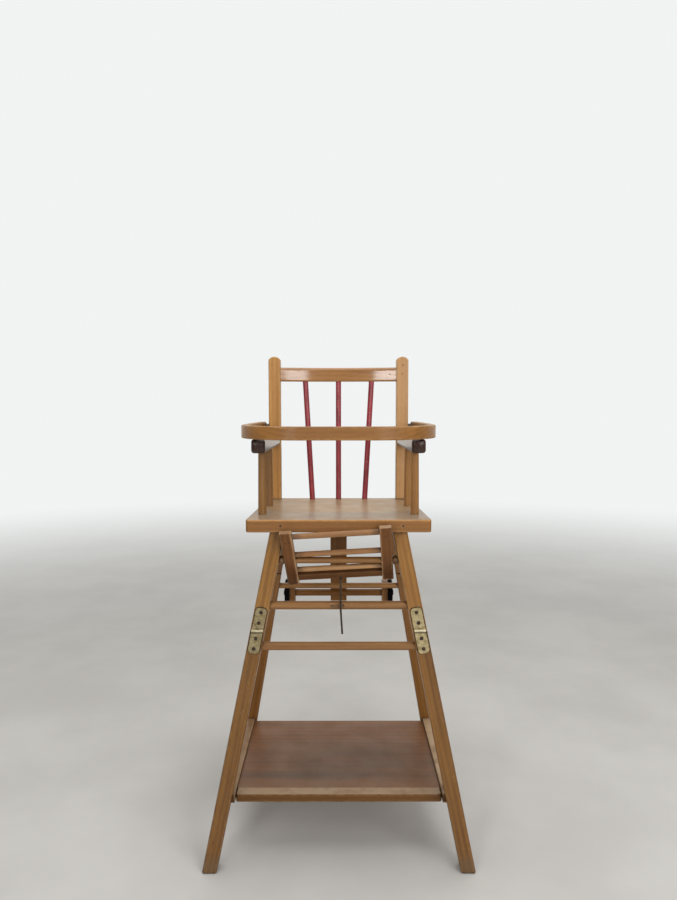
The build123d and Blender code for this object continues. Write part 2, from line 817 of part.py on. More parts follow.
for name, offset_up, radius in steps:
    with BuildPart() as step:
        rod(
            ladder.from_local_coords((glue_gap - step_reach, offset_up, 0)),
            ladder.from_local_coords((step_reach - glue_gap, offset_up, 0)),
            radius,
        )
    keep(step, name)

with BuildPart() as footrest_slat:
    with Locations(ladder.location * Location((0, slat_offset, 0))):
        Box(2 * (step_reach - glue_gap), slat_height, slat_thickness)
    fillet(footrest_slat.edges().filter_by(Axis((0, 0, 0), ladder.x_dir)), slat_edge_round)
keep(footrest_slat, "footrest_slat")

# Steel sleeves that keep the footrest in the middle of its dowel
with BuildPart() as footrest_sleeves:
    for side in (-1, 1):
        leg_face_x = front_leg_x(footrest_dowel_height + footrest_sleeve_radius) - front_leg_width / 2
        sleeve_outer = (side * (leg_face_x - moving_gap), dowel_y, footrest_dowel_height)
        stick_face_x = (stick_half_spacing + stick_width / 2) / cos(rack_angle)
        stick_face_x += footrest_sleeve_radius * tan(rack_angle)
        sleeve_inner = (side * (stick_face_x + moving_gap), dowel_y, footrest_dowel_height)
        rod(sleeve_inner, sleeve_outer, footrest_sleeve_radius)
        rod(sleeve_inner, sleeve_outer, footrest_dowel_radius + running_gap, Mode.SUBTRACT)
keep(footrest_sleeves, "footrest_sleeves")

# Wire latch hook and the staple that it turns on
with BuildPart() as latch_hook:
    hook_plane = Plane((hook_x, hook_y, hook_height), (0, 1, 0), (1, 0, 0))
    with BuildLine(hook_plane):
        Line((0, hook_eye_radius - hook_wire_radius), (0, hook_rise))
        JernArc((0, hook_rise), (0, 1), hook_bend_radius, -90)
        Line(
            (hook_bend_radius, hook_rise + hook_bend_radius),
            (hook_bend_radius + hook_tip, hook_rise + hook_bend_radius),
        )
    with BuildSketch(Plane.XY.offset(hook_height + hook_eye_radius - hook_wire_radius)):
        with Locations((hook_x, hook_y)):
            Circle(hook_wire_radius)
    sweep()
    rod(
        (hook_x + hook_foot_drift, hook_y, hook_height - hook_drop),
        (hook_x, hook_y, hook_height - hook_eye_radius + hook_wire_radius),
        hook_wire_radius,
    )
    rod(
        (hook_x - hook_wire_radius, hook_y, hook_height),
        (hook_x + hook_wire_radius, hook_y, hook_height),
        hook_eye_radius,
    )
    rod(
        (hook_x - hook_wire_radius, hook_y, hook_height),
        (hook_x + hook_wire_radius, hook_y, hook_height),
        staple_radius + running_gap,
        Mode.SUBTRACT,
    )
keep(latch_hook, "latch_hook")

with BuildPart() as latch_staple:
    staple_root_y = upper_rung_y - rung_radius + staple_bite - glue_gap
    with BuildLine(Plane.XY.offset(hook_height)):
        FilletPolyline(
            (staple_left_x, staple_root_y),
            (staple_left_x, hook_y),
            (staple_right_x, hook_y),
            (staple_right_x, staple_root_y),
            radius=staple_bend_radius,
        )
    with BuildSketch(Plane((staple_left_x, staple_root_y, hook_height), (1, 0, 0), (0, -1, 0))):
        Circle(staple_radius)
    sweep()
keep(latch_staple, "latch_staple")

# Wheel carriage: a strut under the rear of the seat, a cross rung, two cheeks and two wheels
with BuildPart() as carriage_strut:
    strut_lean = Vector(0, -rear_rake, 1)
    strut_foot_y = axle_y + rear_rake * strut_below_axle + strut_thickness / 2
    with BuildSketch(Plane.XY.offset(strut_foot)):
        with Locations((0, strut_foot_y)):
            Rectangle(strut_width, strut_thickness)
    extrude(amount=(seat_bottom - strut_foot) * strut_lean.length, dir=strut_lean)
    fillet(carriage_strut.edges().filter_by(Axis((0, 0, 0), strut_lean)), strut_edge_round)
    block(
        (0, strut_tenon_y, seat_bottom),
        (strut_tenon_width, strut_tenon_thickness, 2 * strut_tenon_length),
    )
    rod(
        (-strut_width, axle_y, axle_height),
        (strut_width, axle_y, axle_height),
        axle_rung_radius + glue_gap,
        Mode.SUBTRACT,
    )
keep(carriage_strut, "carriage_strut")

with BuildPart() as axle_rung:
    rod((-cheek_inner_x, axle_y, axle_height), (cheek_inner_x, axle_y, axle_height), axle_rung_radius)
    for side in (-1, 1):
        rod(
            (side * (cheek_inner_x - wheel_bolt_grip), axle_y, axle_height),
            (side * cheek_inner_x, axle_y, axle_height),
            wheel_bolt_radius + glue_gap,
            Mode.SUBTRACT,
        )
keep(axle_rung, "axle_rung")

tyre_inner_radius = wheel_radius - tyre_depth
for name, side in sides:
    with BuildPart() as cheek:
        with BuildSketch(Plane.YZ.offset(side * cheek_inner_x)):
            with Locations((axle_y, axle_height)):
                RectangleRounded(cheek_depth, cheek_height, cheek_corner)
        extrude(amount=side * cheek_thickness)
        rod(
            (side * cheek_inner_x, axle_y, axle_height),
            (side * cheek_outer_x, axle_y, axle_height),
            wheel_bolt_radius + glue_gap,
            Mode.SUBTRACT,
        )
    keep(cheek, f"wheel_cheek_{name}")

    wheel_mid_x = side * (wheel_inner_x + wheel_outer_x) / 2
    wheel_axis = Axis((wheel_mid_x, axle_y, axle_height), (1, 0, 0))
    with BuildPart() as wheel_disc:
        rod(
            (wheel_mid_x - disc_width / 2, axle_y, axle_height),
            (wheel_mid_x + disc_width / 2, axle_y, axle_height),
            tyre_inner_radius - glue_gap,
        )
        rod(
            (wheel_mid_x - wheel_width / 2, axle_y, axle_height),
            (wheel_mid_x + wheel_width / 2, axle_y, axle_height),
            wheel_bolt_head_radius,
        )
        rod(
            (wheel_mid_x - wheel_width / 2, axle_y, axle_height),
            (wheel_mid_x + wheel_width / 2, axle_y, axle_height),
            wheel_bolt_radius + running_gap,
            Mode.SUBTRACT,
        )
    keep(wheel_disc, f"wheel_disc_{name}")

    with BuildPart() as wheel_tyre:
        with BuildSketch(Plane((wheel_mid_x, axle_y, axle_height), (1, 0, 0), (0, -1, 0))) as tyre_section:
            with Locations((0, (wheel_radius + tyre_inner_radius) / 2)):
                Rectangle(wheel_width, tyre_depth)
            fillet(tyre_section.vertices().group_by(Axis.Y)[-1], tyre_round)
        revolve(axis=wheel_axis)
    keep(wheel_tyre, f"wheel_tyre_{name}")

with BuildPart() as wheel_bolts:
    for side in (-1, 1):
        bolt_head_x = wheel_outer_x + wheel_side_gap
        rod(
            (side * (cheek_inner_x - wheel_bolt_grip + glue_gap), axle_y, axle_height),
            (side * bolt_head_x, axle_y, axle_height),
            wheel_bolt_radius,
        )
        rod(
            (side * bolt_head_x, axle_y, axle_height),
            (side * (bolt_head_x + wheel_bolt_head_height), axle_y, axle_height),
            wheel_bolt_head_radius,
        )
keep(wheel_bolts, "wheel_bolts")

# Shelf: stretchers housed in the legs, a board and its front edging
shelf_mid = shelf_top - shelf_thickness / 2
edging_rear_y = shelf_front_y + shelf_edging_width
for name, side in sides:
    with BuildPart() as side_stretcher:
        block(
            (
                side * (stretcher_inner_x + stretcher_outer_x) / 2,
                (stretcher_front_y + stretcher_rear_y) / 2,
                stretcher_mid,
            ),
            (stretcher_thickness, stretcher_rear_y - stretcher_front_y, stretcher_height),
        )
        fillet(side_stretcher.edges().filter_by(Axis.Y), stretcher_edge_round)
        for screw_y in (shelf_screw_front_y, shelf_screw_rear_y):
            rod(
                (side * stretcher_inner_x, screw_y, shelf_screw_height),
                (side * stretcher_outer_x, screw_y, shelf_screw_height),
                screw_shank_radius + glue_gap,
                Mode.SUBTRACT,
            )
    keep(side_stretcher, f"side_stretcher_{name}")

with BuildPart() as shelf_board:
    block(
        (0, (edging_rear_y + shelf_rear_y) / 2, shelf_mid),
        (2 * shelf_half_width, shelf_rear_y - edging_rear_y, shelf_thickness),
    )
    for side in (-1, 1):
        for screw_y in (shelf_screw_front_y, shelf_screw_rear_y):
            rod(
                (side * (stretcher_outer_x - shelf_screw_length), screw_y, shelf_screw_height),
                (side * stretcher_outer_x, screw_y, shelf_screw_height),
                screw_shank_radius + glue_gap,
                Mode.SUBTRACT,
            )
keep(shelf_board, "shelf_board")

with BuildPart() as shelf_edging:
    block(
        (0, (shelf_front_y + edging_rear_y) / 2, shelf_mid),
        (2 * shelf_half_width, shelf_edging_width, shelf_thickness),
    )
    fillet(shelf_edging.edges().filter_by(Axis.Z).group_by(Axis.Y)[0], shelf_corner)
    edging_rims = shelf_edging.faces().filter_by(Axis.Z).edges()
    front_rims = edging_rims.filter_by(lambda edge: edge.center().Y < shelf_front_y + shelf_corner)
    fillet(front_rims, shelf_edge_round)
keep(shelf_edging, "shelf_edging")

with BuildPart() as shelf_screws:
    for side in (-1, 1):
        for screw_y in (shelf_screw_front_y, shelf_screw_rear_y):
            head_base = (side * stretcher_outer_x, screw_y, shelf_screw_height)
            head_top = (side * (stretcher_outer_x + leaf_thickness), screw_y, shelf_screw_height)
            tip_x = side * (stretcher_outer_x - shelf_screw_length + glue_gap)
            tip = (tip_x, screw_y, shelf_screw_height)
            rod(tip, head_top, screw_shank_radius)
            rod(head_base, head_top, screw_head_radius)
keep(shelf_screws, "shelf_screws")

# Brass hinges on the front faces of the front legs, pins along X so that both share one axis
barrel_length = (leaf_width - 2 * knuckle_gap) / 3
outer_barrel_x = barrel_length + knuckle_gap
splay_angle = degrees(atan(front_splay / sqrt(1 + front_rake**2)))
for name, side in sides:
    plane = hinge_plane(side)
    for half_name, half, barrel_places in (
        ("upper", 1, (-outer_barrel_x, outer_barrel_x)),
        ("lower", -1, (0,)),
    ):
        with BuildPart() as leaf:
            with BuildSketch(plane) as leaf_outline:
                with Locations(Location((0, 0, 0), (0, 0, side * splay_angle))):
                    RectangleRounded(leaf_width, 2 * leaf_length, leaf_corner)
                with Locations((0, half * (leaf_clear_of_axis - leaf_length))):
                    Rectangle(3 * leaf_width, 2 * leaf_length, mode=Mode.SUBTRACT)
                for barrel_x in barrel_places:
                    with Locations((barrel_x, half * leaf_clear_of_axis / 2)):
                        Rectangle(barrel_length, leaf_clear_of_axis)
            extrude(amount=leaf_thickness)
            for barrel_x in barrel_places:
                barrel_mid = side * hinge_x + barrel_x
                rod(
                    (barrel_mid - barrel_length / 2, hinge_axis_y, hinge_height),
                    (barrel_mid + barrel_length / 2, hinge_axis_y, hinge_height),
                    knuckle_radius,
                )
            rod(
                (side * hinge_x - leaf_width, hinge_axis_y, hinge_height),
                (side * hinge_x + leaf_width, hinge_axis_y, hinge_height),
                hinge_pin_radius + running_gap,
                Mode.SUBTRACT,
            )
            outer_face = Location((0, 0, leaf_thickness))
            with Locations(*[place * outer_face for place in hinge_screw_places(side, half)]):
                CounterSinkHole(
                    screw_shank_radius + glue_gap,
                    screw_head_radius + glue_gap,
                    depth=2 * leaf_thickness,
                    counter_sink_angle=90,
                )
        keep(leaf, f"hinge_{half_name}_leaf_{name}")

with BuildPart() as hinge_pins:
    for name, side in sides:
        rod(
            (side * hinge_x - leaf_width / 2 - knuckle_gap, hinge_axis_y, hinge_height),
            (side * hinge_x + leaf_width / 2 + knuckle_gap, hinge_axis_y, hinge_height),
            hinge_pin_radius,
        )
keep(hinge_pins, "hinge_pins")

head_height = screw_head_radius - screw_shank_radius
for half_name, half in (("upper", 1), ("lower", -1)):
    with BuildPart() as hinge_screws:
        places = [*hinge_screw_places(-1, half), *hinge_screw_places(1, half)]
        head_tops = [place * Location((0, 0, leaf_thickness)) for place in places]
        with Locations(*head_tops):
            Cone(
                screw_shank_radius,
                screw_head_radius,
                head_height,
                align=(Align.CENTER, Align.CENTER, Align.MAX),
            )
            Cylinder(
                screw_shank_radius,
                screw_length - glue_gap,
                align=(Align.CENTER, Align.CENTER, Align.MAX),
            )
            Box(
                2 * screw_head_radius,
                screw_slot_width,
                2 * screw_slot_depth,
                mode=Mode.SUBTRACT,
            )
    keep(hinge_screws, f"hinge_screws_{half_name}")
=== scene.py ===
"""Looks of a varnished wooden high chair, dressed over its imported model."""

import logging
import math
from dataclasses import dataclass, replace
from enum import Enum
from functools import reduce

import bmesh
import bpy
from mathutils import Color, Euler, Matrix, Vector


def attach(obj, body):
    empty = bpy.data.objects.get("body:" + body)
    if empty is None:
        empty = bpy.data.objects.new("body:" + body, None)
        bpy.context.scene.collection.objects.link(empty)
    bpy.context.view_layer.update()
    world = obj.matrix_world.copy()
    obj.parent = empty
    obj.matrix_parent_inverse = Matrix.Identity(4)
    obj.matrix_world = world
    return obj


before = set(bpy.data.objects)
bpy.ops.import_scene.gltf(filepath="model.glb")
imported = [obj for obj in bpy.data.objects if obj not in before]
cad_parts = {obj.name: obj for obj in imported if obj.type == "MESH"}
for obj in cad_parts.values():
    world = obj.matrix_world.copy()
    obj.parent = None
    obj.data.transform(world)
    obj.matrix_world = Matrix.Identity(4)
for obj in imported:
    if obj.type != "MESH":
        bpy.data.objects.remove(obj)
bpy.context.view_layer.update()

LOG = logging.getLogger("high_chair")

Paint = tuple[int, int, int]
Colour = tuple[float, float, float, float]
Point = tuple[float, float, float]
# A size and an amount, a strength and a depth, two sides, or the levels that a patch fades between.
Pair = tuple[float, float]
Material = bpy.types.Material
Mesh = bmesh.types.BMesh
Node = bpy.types.Node
NodeTree = bpy.types.NodeTree
Socket = bpy.types.NodeSocket

ORIGIN: Point = (0.0, 0.0, 0.0)
RIGHT: Point = (1.0, 0.0, 0.0)
FORWARD: Point = (0.0, -1.0, 0.0)
BACKWARD: Point = (0.0, 1.0, 0.0)
UP: Point = (0.0, 0.0, 1.0)
DOWN: Point = (0.0, 0.0, -1.0)
SIDES = (("left", -1), ("right", 1))


def linear(colour: Paint, share: float = 1.0) -> Colour:
    """Turn an 8-bit display colour into a linear one, dimmed to a share of its level."""
    made = Color([level / 255 for level in colour]).from_srgb_to_scene_linear()
    return (*(made * share), 1.0)


def under(level: float, depths: Pair) -> Pair:
    """Turn two depths under a level into the levels that a patch fades between."""
    start, full = depths
    return (level - start, level - full)


class Grain(Enum):
    """Directions that the fibres of a piece can run in."""

    ACROSS = (1.0, 0.0, 0.0)
    DEEP = (0.0, 1.0, 0.0)
    UPRIGHT = (0.0, 0.0, 1.0)
    FRONT_LEFT = (0.2011, 0.0607, 1.0)
    FRONT_RIGHT = (-0.2011, 0.0607, 1.0)
    REAR_LEFT = (0.178, -0.22, 1.0)
    REAR_RIGHT = (-0.178, -0.22, 1.0)
    STRUT = (0.0, -0.22, 1.0)
    LADDER_UP = (-0.078, -0.551, 0.831)
    LADDER_ACROSS = (0.997, -0.043, 0.065)

    def turn(self) -> Euler:
        """Turn that stands the fibres upright."""
        return Vector(self.value).normalized().rotation_difference(Vector(UP)).to_euler()


class Wiring:
    """Adds and links nodes in one shader tree."""

    def __init__(self, tree: NodeTree) -> None:
        """Take the tree that the nodes go into."""
        self.tree = tree

    def feed(self, node: Node, values: dict) -> None:
        """Fill some inputs of a node.

        Args:
            node: The node.
            values: Input names or numbers, each with a value or an output socket to link.
        """
        for key, value in values.items():
            if isinstance(value, Socket):
                self.tree.links.new(value, node.inputs[key])
            else:
                node.inputs[key].default_value = value

    def node(self, kind: str, values: dict | None = None, **settings: object) -> Node:
        """Add one node.

        Args:
            kind: Blender's name of the node type.
            values: Input names or numbers, each with a value or an output socket to link.
            settings: Attributes set on the node itself.

        Returns:
            The new node.
        """
        made = self.tree.nodes.new(kind)
        for key, value in settings.items():
            setattr(made, key, value)
        self.feed(made, values or {})
        return made

    def effect(self, tree: NodeTree, *values: object) -> Node:
        """Place a shared effect, with the values of its inputs in order."""
        return self.node("ShaderNodeGroup", dict(enumerate(values)), node_tree=tree)

    def place(self) -> Socket:
        """Position on the piece, in the shared frame."""
        return self.node("ShaderNodeTexCoord").outputs["Object"]

    def turned(self, place: Socket, turn: Euler | Point, shift: Point = ORIGIN) -> Socket:
        """Turn a place and then shift it."""
        values = {"Vector": place, "Rotation": turn, "Location": shift}
        return self.node("ShaderNodeMapping", values).outputs[0]

    def sum(self, kind: str, first: object, second: object = 0.0) -> Socket:
        """Work out one number from one or two numbers or sockets."""
        return self.node("ShaderNodeMath", {0: first, 1: second}, operation=kind).outputs[0]

    def times(self, *factors: object) -> Socket:
        """Multiply numbers or sockets from left to right."""
        return reduce(lambda product, factor: self.sum("MULTIPLY", product, factor), factors)

    def vector(self, kind: str, first: object, second: object = ORIGIN) -> Socket:
        """Work out a vector from two, or a number for a dot product or a length."""
        made = self.node("ShaderNodeVectorMath", {0: first, 1: second}, operation=kind)
        return made.outputs["Value" if kind in ("DOT_PRODUCT", "LENGTH") else "Vector"]

    def fit(
        self, value: object, low: float = 0.3, high: float = 0.7,
        start: float = 0.0, end: float = 1.0,
    ) -> Socket:
        """Map a value smoothly to start and end, from noise's usual range unless one is given."""
        values = {"Value": value, "From Min": low, "From Max": high, "To Min": start, "To Max": end}
        return self.node("ShaderNodeMapRange", values, interpolation_type="SMOOTHSTEP").outputs[0]

    def blend(self, share: object, below: object, above: object, kind: str = "MIX") -> Socket:
        """Lay a share of one colour over another."""
        values = {0: share, 6: below, 7: above}
        return self.node("ShaderNodeMix", values, data_type="RGBA", blend_type=kind).outputs[2]

    def noise(
        self, place: object, scale: object, detail: float = 3.0, rough: float = 0.55
    ) -> Socket:
        """Noise at a place, by its waves per metre, its octaves and their strength."""
        values = {"Vector": place, "Scale": scale, "Detail": detail, "Roughness": rough}
        return self.node("ShaderNodeTexNoise", values).outputs["Fac"]

    def draw_out(self, place: object, share: float) -> Socket:
        """Draw a pattern out along Z, where it keeps a share of its changes."""
        return self.vector("MULTIPLY", place, (1, 1, share))

    def bump(self, height: Socket, strength: float, distance: float) -> Node:
        """Raise the surface by a height and return the node."""
        values = {"Height": height, "Strength": strength, "Distance": distance}
        return self.node("ShaderNodeBump", values)


class Effects:
    """Shader node groups that several finishes share."""

    kinds = {"Place": "Vector", "Light": "Color", "Dark": "Color"}
    tone_shares: Point = (0.55, 0.27, 0.18)
    fleck_shade: Colour = (0.45, 0.36, 0.3, 1)
    fleck_strength: float = 0.5
    fibre_height: float = 0.5
    fleck_depth: float = 0.6
    scuff_turns: Pair = (0.5, -0.9)
    scuff_tilt: float = 0.4
    scuff_stretch: Point = (1, 0.012, 1)

    def __init__(self) -> None:
        """Build each group once."""
        self.grain = self._grain()
        self.edges = self._edges()
        self.grime_and_shade = self._grime_and_shade()
        self.specks = self._specks()
        self.scratches = self._scratches()

    def _open(self, name: str, *inputs: str) -> tuple[Wiring, list[Socket]]:
        """Open a new group.

        Args:
            name: The group's name.
            inputs: Names of its inputs, which are plain numbers unless their kind is given above.

        Returns:
            Its wiring, and what its inputs give, in order.
        """
        tree = bpy.data.node_groups.new(name, "ShaderNodeTree")
        for label in inputs:
            kind = self.kinds.get(label, "Float")
            tree.interface.new_socket(label, in_out="INPUT", socket_type=f"NodeSocket{kind}")
        w = Wiring(tree)
        return w, w.node("NodeGroupInput").outputs[:len(inputs)]

    @staticmethod
    def _close(w: Wiring, **outputs: Socket) -> NodeTree:
        """Close a group.

        Args:
            w: The group's wiring.
            outputs: Names of its outputs, each with what it puts out.

        Returns:
            The group.
        """
        for label, socket in outputs.items():
            w.tree.interface.new_socket(label, in_out="OUTPUT", socket_type=socket.bl_idname)
        w.node("NodeGroupOutput", outputs)
        return w.tree

    def _grain(self) -> NodeTree:
        """Beech: wide bands, faint growth rings, fine fibres and short dark flecks along Z.

        Returns:
            The group.
        """
        inputs = ("Place", "Light", "Dark", "Figure")
        w, (place, light, dark, figure) = self._open("beech_grain", *inputs)
        bands = w.fit(w.noise(w.draw_out(place, 0.05), scale=48, detail=4))
        ring_values = {
            "Vector": w.draw_out(place, 0.045), "Scale": 38.0, "Distortion": 5.0,
            "Detail": 2.0, "Detail Scale": 0.6,
        }
        rings = w.node("ShaderNodeTexWave", ring_values, wave_type="RINGS", rings_direction="Z")
        fibres = w.fit(w.noise(w.draw_out(place, 0.02), scale=900, detail=2))
        short = w.noise(w.draw_out(place, 0.1), scale=620, detail=2, rough=0.4)
        flecks = w.fit(short, low=0.63, high=0.72)
        layers = zip((bands, rings.outputs["Fac"], fibres), self.tone_shares)
        first, second, third = (w.times(*layer) for layer in layers)
        tone = w.sum("ADD", w.sum("ADD", first, second), third)
        colour = w.blend(w.times(tone, figure), light, dark)
        spotted = w.times(flecks, self.fleck_strength)
        colour = w.blend(spotted, colour, self.fleck_shade, "MULTIPLY")
        raised, sunk = w.times(fibres, self.fibre_height), w.times(flecks, self.fleck_depth)
        return self._close(w, Color=colour, Height=w.sum("SUBTRACT", raised, sunk))

    def _edges(self) -> NodeTree:
        """Mask of the rubbed edges of a piece, broken up by noise.

        Returns:
            The group.
        """
        w, (place, width, amount) = self._open("rubbed_edges", "Place", "Width", "Amount")
        rounded = w.node("ShaderNodeBevel", {"Radius": width}, samples=4).outputs[0]
        normal = w.node("ShaderNodeNewGeometry").outputs["Normal"]
        edge = w.fit(w.vector("DOT_PRODUCT", rounded, normal), low=0.995, high=0.9)
        broken = w.fit(w.noise(place, scale=70, detail=5, rough=0.65), low=0.38, high=0.62)
        return self._close(w, Mask=w.times(edge, broken, amount))

    def _grime_and_shade(self) -> NodeTree:
        """Mask of the dirt that gathers where pieces meet, and of painted shade in every nook and
        gap.

        Returns:
            The group.
        """
        w, (place, reach, amount) = self._open("joint_grime_and_shade", "Place", "Reach", "Amount")
        # Ambient occlusion: dirt, and painted shade wherever the surface is closed in.
        open_air = w.node("ShaderNodeAmbientOcclusion", {"Distance": reach}, samples=6)
        closed = w.fit(open_air.outputs["AO"], low=0.72, high=0.2)
        broken = w.fit(w.noise(place, scale=120, detail=4), low=0.25, high=0.6, start=0.5)
        return self._close(w, Mask=w.times(closed, broken, amount))

    def _specks(self) -> NodeTree:
        """Mask of scattered small spots.

        Returns:
            The group.
        """
        w, (place, scale, amount) = self._open("specks", "Place", "Scale", "Amount")
        spots = w.fit(w.noise(place, scale, detail=2, rough=0.5), low=0.64, high=0.72)
        return self._close(w, Mask=w.times(spots, amount))

    def _scratches(self) -> NodeTree:
        """Mask of thin scuffs that run in two slanted directions.

        Returns:
            The group.
        """
        w, (place, amount) = self._open("scuffs", "Place", "Amount")
        ways: list[Socket] = []
        for turn in self.scuff_turns:
            turned = w.turned(place, (self.scuff_tilt, turn, turn))
            drawn = w.vector("MULTIPLY", turned, self.scuff_stretch)
            thin = w.noise(drawn, scale=520, detail=1, rough=0.3)
            ways.append(w.fit(thin, low=0.73, high=0.78))
        patches = w.fit(w.noise(place, scale=16, detail=2), low=0.45, high=0.65)
        return self._close(w, Mask=w.times(w.sum("MAXIMUM", *ways), patches, amount))


EFFECTS = Effects()


def open_material(name: str) -> tuple[Material, Wiring, Node]:
    """Make an empty surface material.

    Args:
        name: The material's name.

    Returns:
        The material, its wiring and its Principled shader.
    """
    material = bpy.data.materials.new(name)
    material.use_nodes = True
    material.node_tree.nodes.clear()
    w = Wiring(material.node_tree)
    shader = w.node("ShaderNodeBsdfPrincipled")
    w.node("ShaderNodeOutputMaterial", {"Surface": shader.outputs[0]})
    return material, w, shader


class PatchShape(Enum):
    """How a patch is measured: along a direction, or outwards from a middle."""

    ALONG = "DOT_PRODUCT"
    AROUND = "LENGTH"


@dataclass(frozen=True)
class Patch:
    """A part of a piece coloured differently, fading in along a direction: wear and stains, and
    also painted light and shade.

    A patch of the AROUND shape is measured from its middle, with each axis scaled by its factors.
    A patch with a lowest height shows only above it.
    """

    factors: Point
    fade: Pair
    colour: Paint
    strength: float = 1.0
    break_up: float = 30.0
    shape: PatchShape = PatchShape.ALONG
    middle: Point = ORIGIN
    lowest: float | None = None
    rise: float = 0.0008

    def mask(self, w: Wiring, place: Socket, along: Socket) -> Socket:
        """Work out where the patch shows.

        Args:
            w: The material's wiring.
            place: Position in the shared frame.
            along: Position turned to the grain, for the ragged edge.

        Returns:
            The mask's socket.
        """
        if self.shape is PatchShape.ALONG:
            reach = w.vector(self.shape.value, place, self.factors)
        else:
            offset = w.vector("SUBTRACT", place, self.middle)
            reach = w.vector(self.shape.value, w.vector("MULTIPLY", offset, self.factors))
        ragged = w.noise(along, self.break_up, detail=4)
        broken = w.fit(ragged, low=0.25, high=0.6, start=0.45)
        inside = w.fit(reach, *self.fade)
        if self.lowest is not None:
            height = w.node("ShaderNodeSeparateXYZ", {0: place}).outputs["Z"]
            inside = w.times(inside, w.fit(height, self.lowest, self.lowest + self.rise))
        return w.times(inside, broken, self.strength)


Patches = tuple[Patch, ...]


@dataclass(frozen=True)
class WoodFinish:
    """Varnished, stained or lacquered wood.

    With a soft radius, the faces at the ends of the grain catch the light as if they were domed.
    """

    name: str
    light: Paint
    dark: Paint
    worn: Paint
    # Colour of the dirt and painted shade in nooks and gaps.
    dirt_and_shade: Paint = (38, 25, 15)
    figure: float = 0.75
    smooth: float = 0.34
    rough: float = 0.5
    coat: float = 0.3
    wear: float = 0.7
    grime_and_shade: float = 0.8
    scuffs: float = 0.25
    film_rough: float = 0.16
    gloss: float = 0.32
    soft: float = 0.0
    edge_width: float = 0.0045
    grime_and_shade_reach: float = 0.016
    dulling: float = 0.22
    scuff_depth: float = 0.8
    relief: Pair = (0.22, 0.0004)
    first_cut: Point = (0.031, 0.046, 0.0)
    cut_step: Point = (0.013, 0.007, 0.011)

    def material(
        self, piece: str, grain: Grain, patches: Patches = (), shade: float = 1.0
    ) -> Material:
        """Make the finish for one piece, with its own run of grain.

        Args:
            piece: Name of the piece.
            grain: Direction of its fibres.
            patches: Places coloured by use, and places with painted light and shade.
            shade: Painted light: how much lighter or darker this piece is made than the finish's
                own colours, for how the light falls on it.

        Returns:
            The material.
        """
        material, w, shader = open_material(f"{self.name}_{piece}")
        place = w.place()
        along = w.turned(place, grain.turn(), self._cut(piece))
        # The shade share paints light and shade into the wood's own colours.
        light, dark = linear(self.light, shade), linear(self.dark, shade)
        fibres = w.effect(EFFECTS.grain, along, light, dark, self.figure)
        colour = fibres.outputs["Color"]
        for patch in patches:
            colour = w.blend(patch.mask(w, place, along), colour, linear(patch.colour))
        scuff = w.effect(EFFECTS.scratches, place, self.scuffs).outputs[0]
        edge = w.effect(EFFECTS.edges, along, self.edge_width, self.wear).outputs[0]
        # Dirt and painted shade in nooks and gaps, from ambient occlusion.
        grime_and_shade = w.effect(EFFECTS.grime_and_shade, along, self.grime_and_shade_reach, self.grime_and_shade).outputs[0]
        rubbed = w.sum("MAXIMUM", scuff, edge)
        colour = w.blend(rubbed, colour, linear(self.worn))
        colour = w.blend(grime_and_shade, colour, linear(self.dirt_and_shade))
        sheen = w.fit(w.noise(place, scale=22, detail=4), start=self.smooth, end=self.rough)
        dull = w.sum("ADD", sheen, w.times(w.sum("ADD", rubbed, grime_and_shade), self.dulling))
        whole = w.sum("SUBTRACT", 1.0, w.sum("MAXIMUM", rubbed, grime_and_shade))
        height = w.sum("SUBTRACT", fibres.outputs["Height"], w.times(scuff, self.scuff_depth))
        bump = w.bump(height, *self.relief)
        if self.soft > 0:
            domed = self._domed_ends(w, grain)
            w.feed(bump, {"Normal": domed})
            w.feed(shader, {"Coat Normal": domed})
        w.feed(shader, {
            "Base Color": colour, "Roughness": dull, "Coat Weight": w.times(whole, self.coat),
            "Coat Roughness": self.film_rough, "Specular IOR Level": self.gloss,
            "Normal": bump.outputs[0],
        })
        return material

    def _cut(self, piece: str) -> Point:
        """Choose from its name where in the wood a piece was cut, so that no two look alike."""
        seed = sum(ord(letter) * (spot + 3) for spot, letter in enumerate(piece)) % 997
        return tuple(first + seed * step for first, step in zip(self.first_cut, self.cut_step))

    def _domed_ends(self, w: Wiring, grain: Grain) -> Socket:
        """Round the faces at the ends of the grain, and leave the sides flat.

        Args:
            w: The material's wiring.
            grain: Direction of the fibres.

        Returns:
            The normal's socket.
        """
        rounded = w.node("ShaderNodeBevel", {"Radius": self.soft}, samples=8).outputs[0]
        flat = w.node("ShaderNodeNewGeometry").outputs["Normal"]
        facing = w.sum("ABSOLUTE", w.vector("DOT_PRODUCT", flat, grain.value))
        values = {0: w.fit(facing), 4: flat, 5: rounded}
        mixed = w.node("ShaderNodeMix", values, data_type="VECTOR").outputs[1]
        return w.vector("NORMALIZE", mixed)


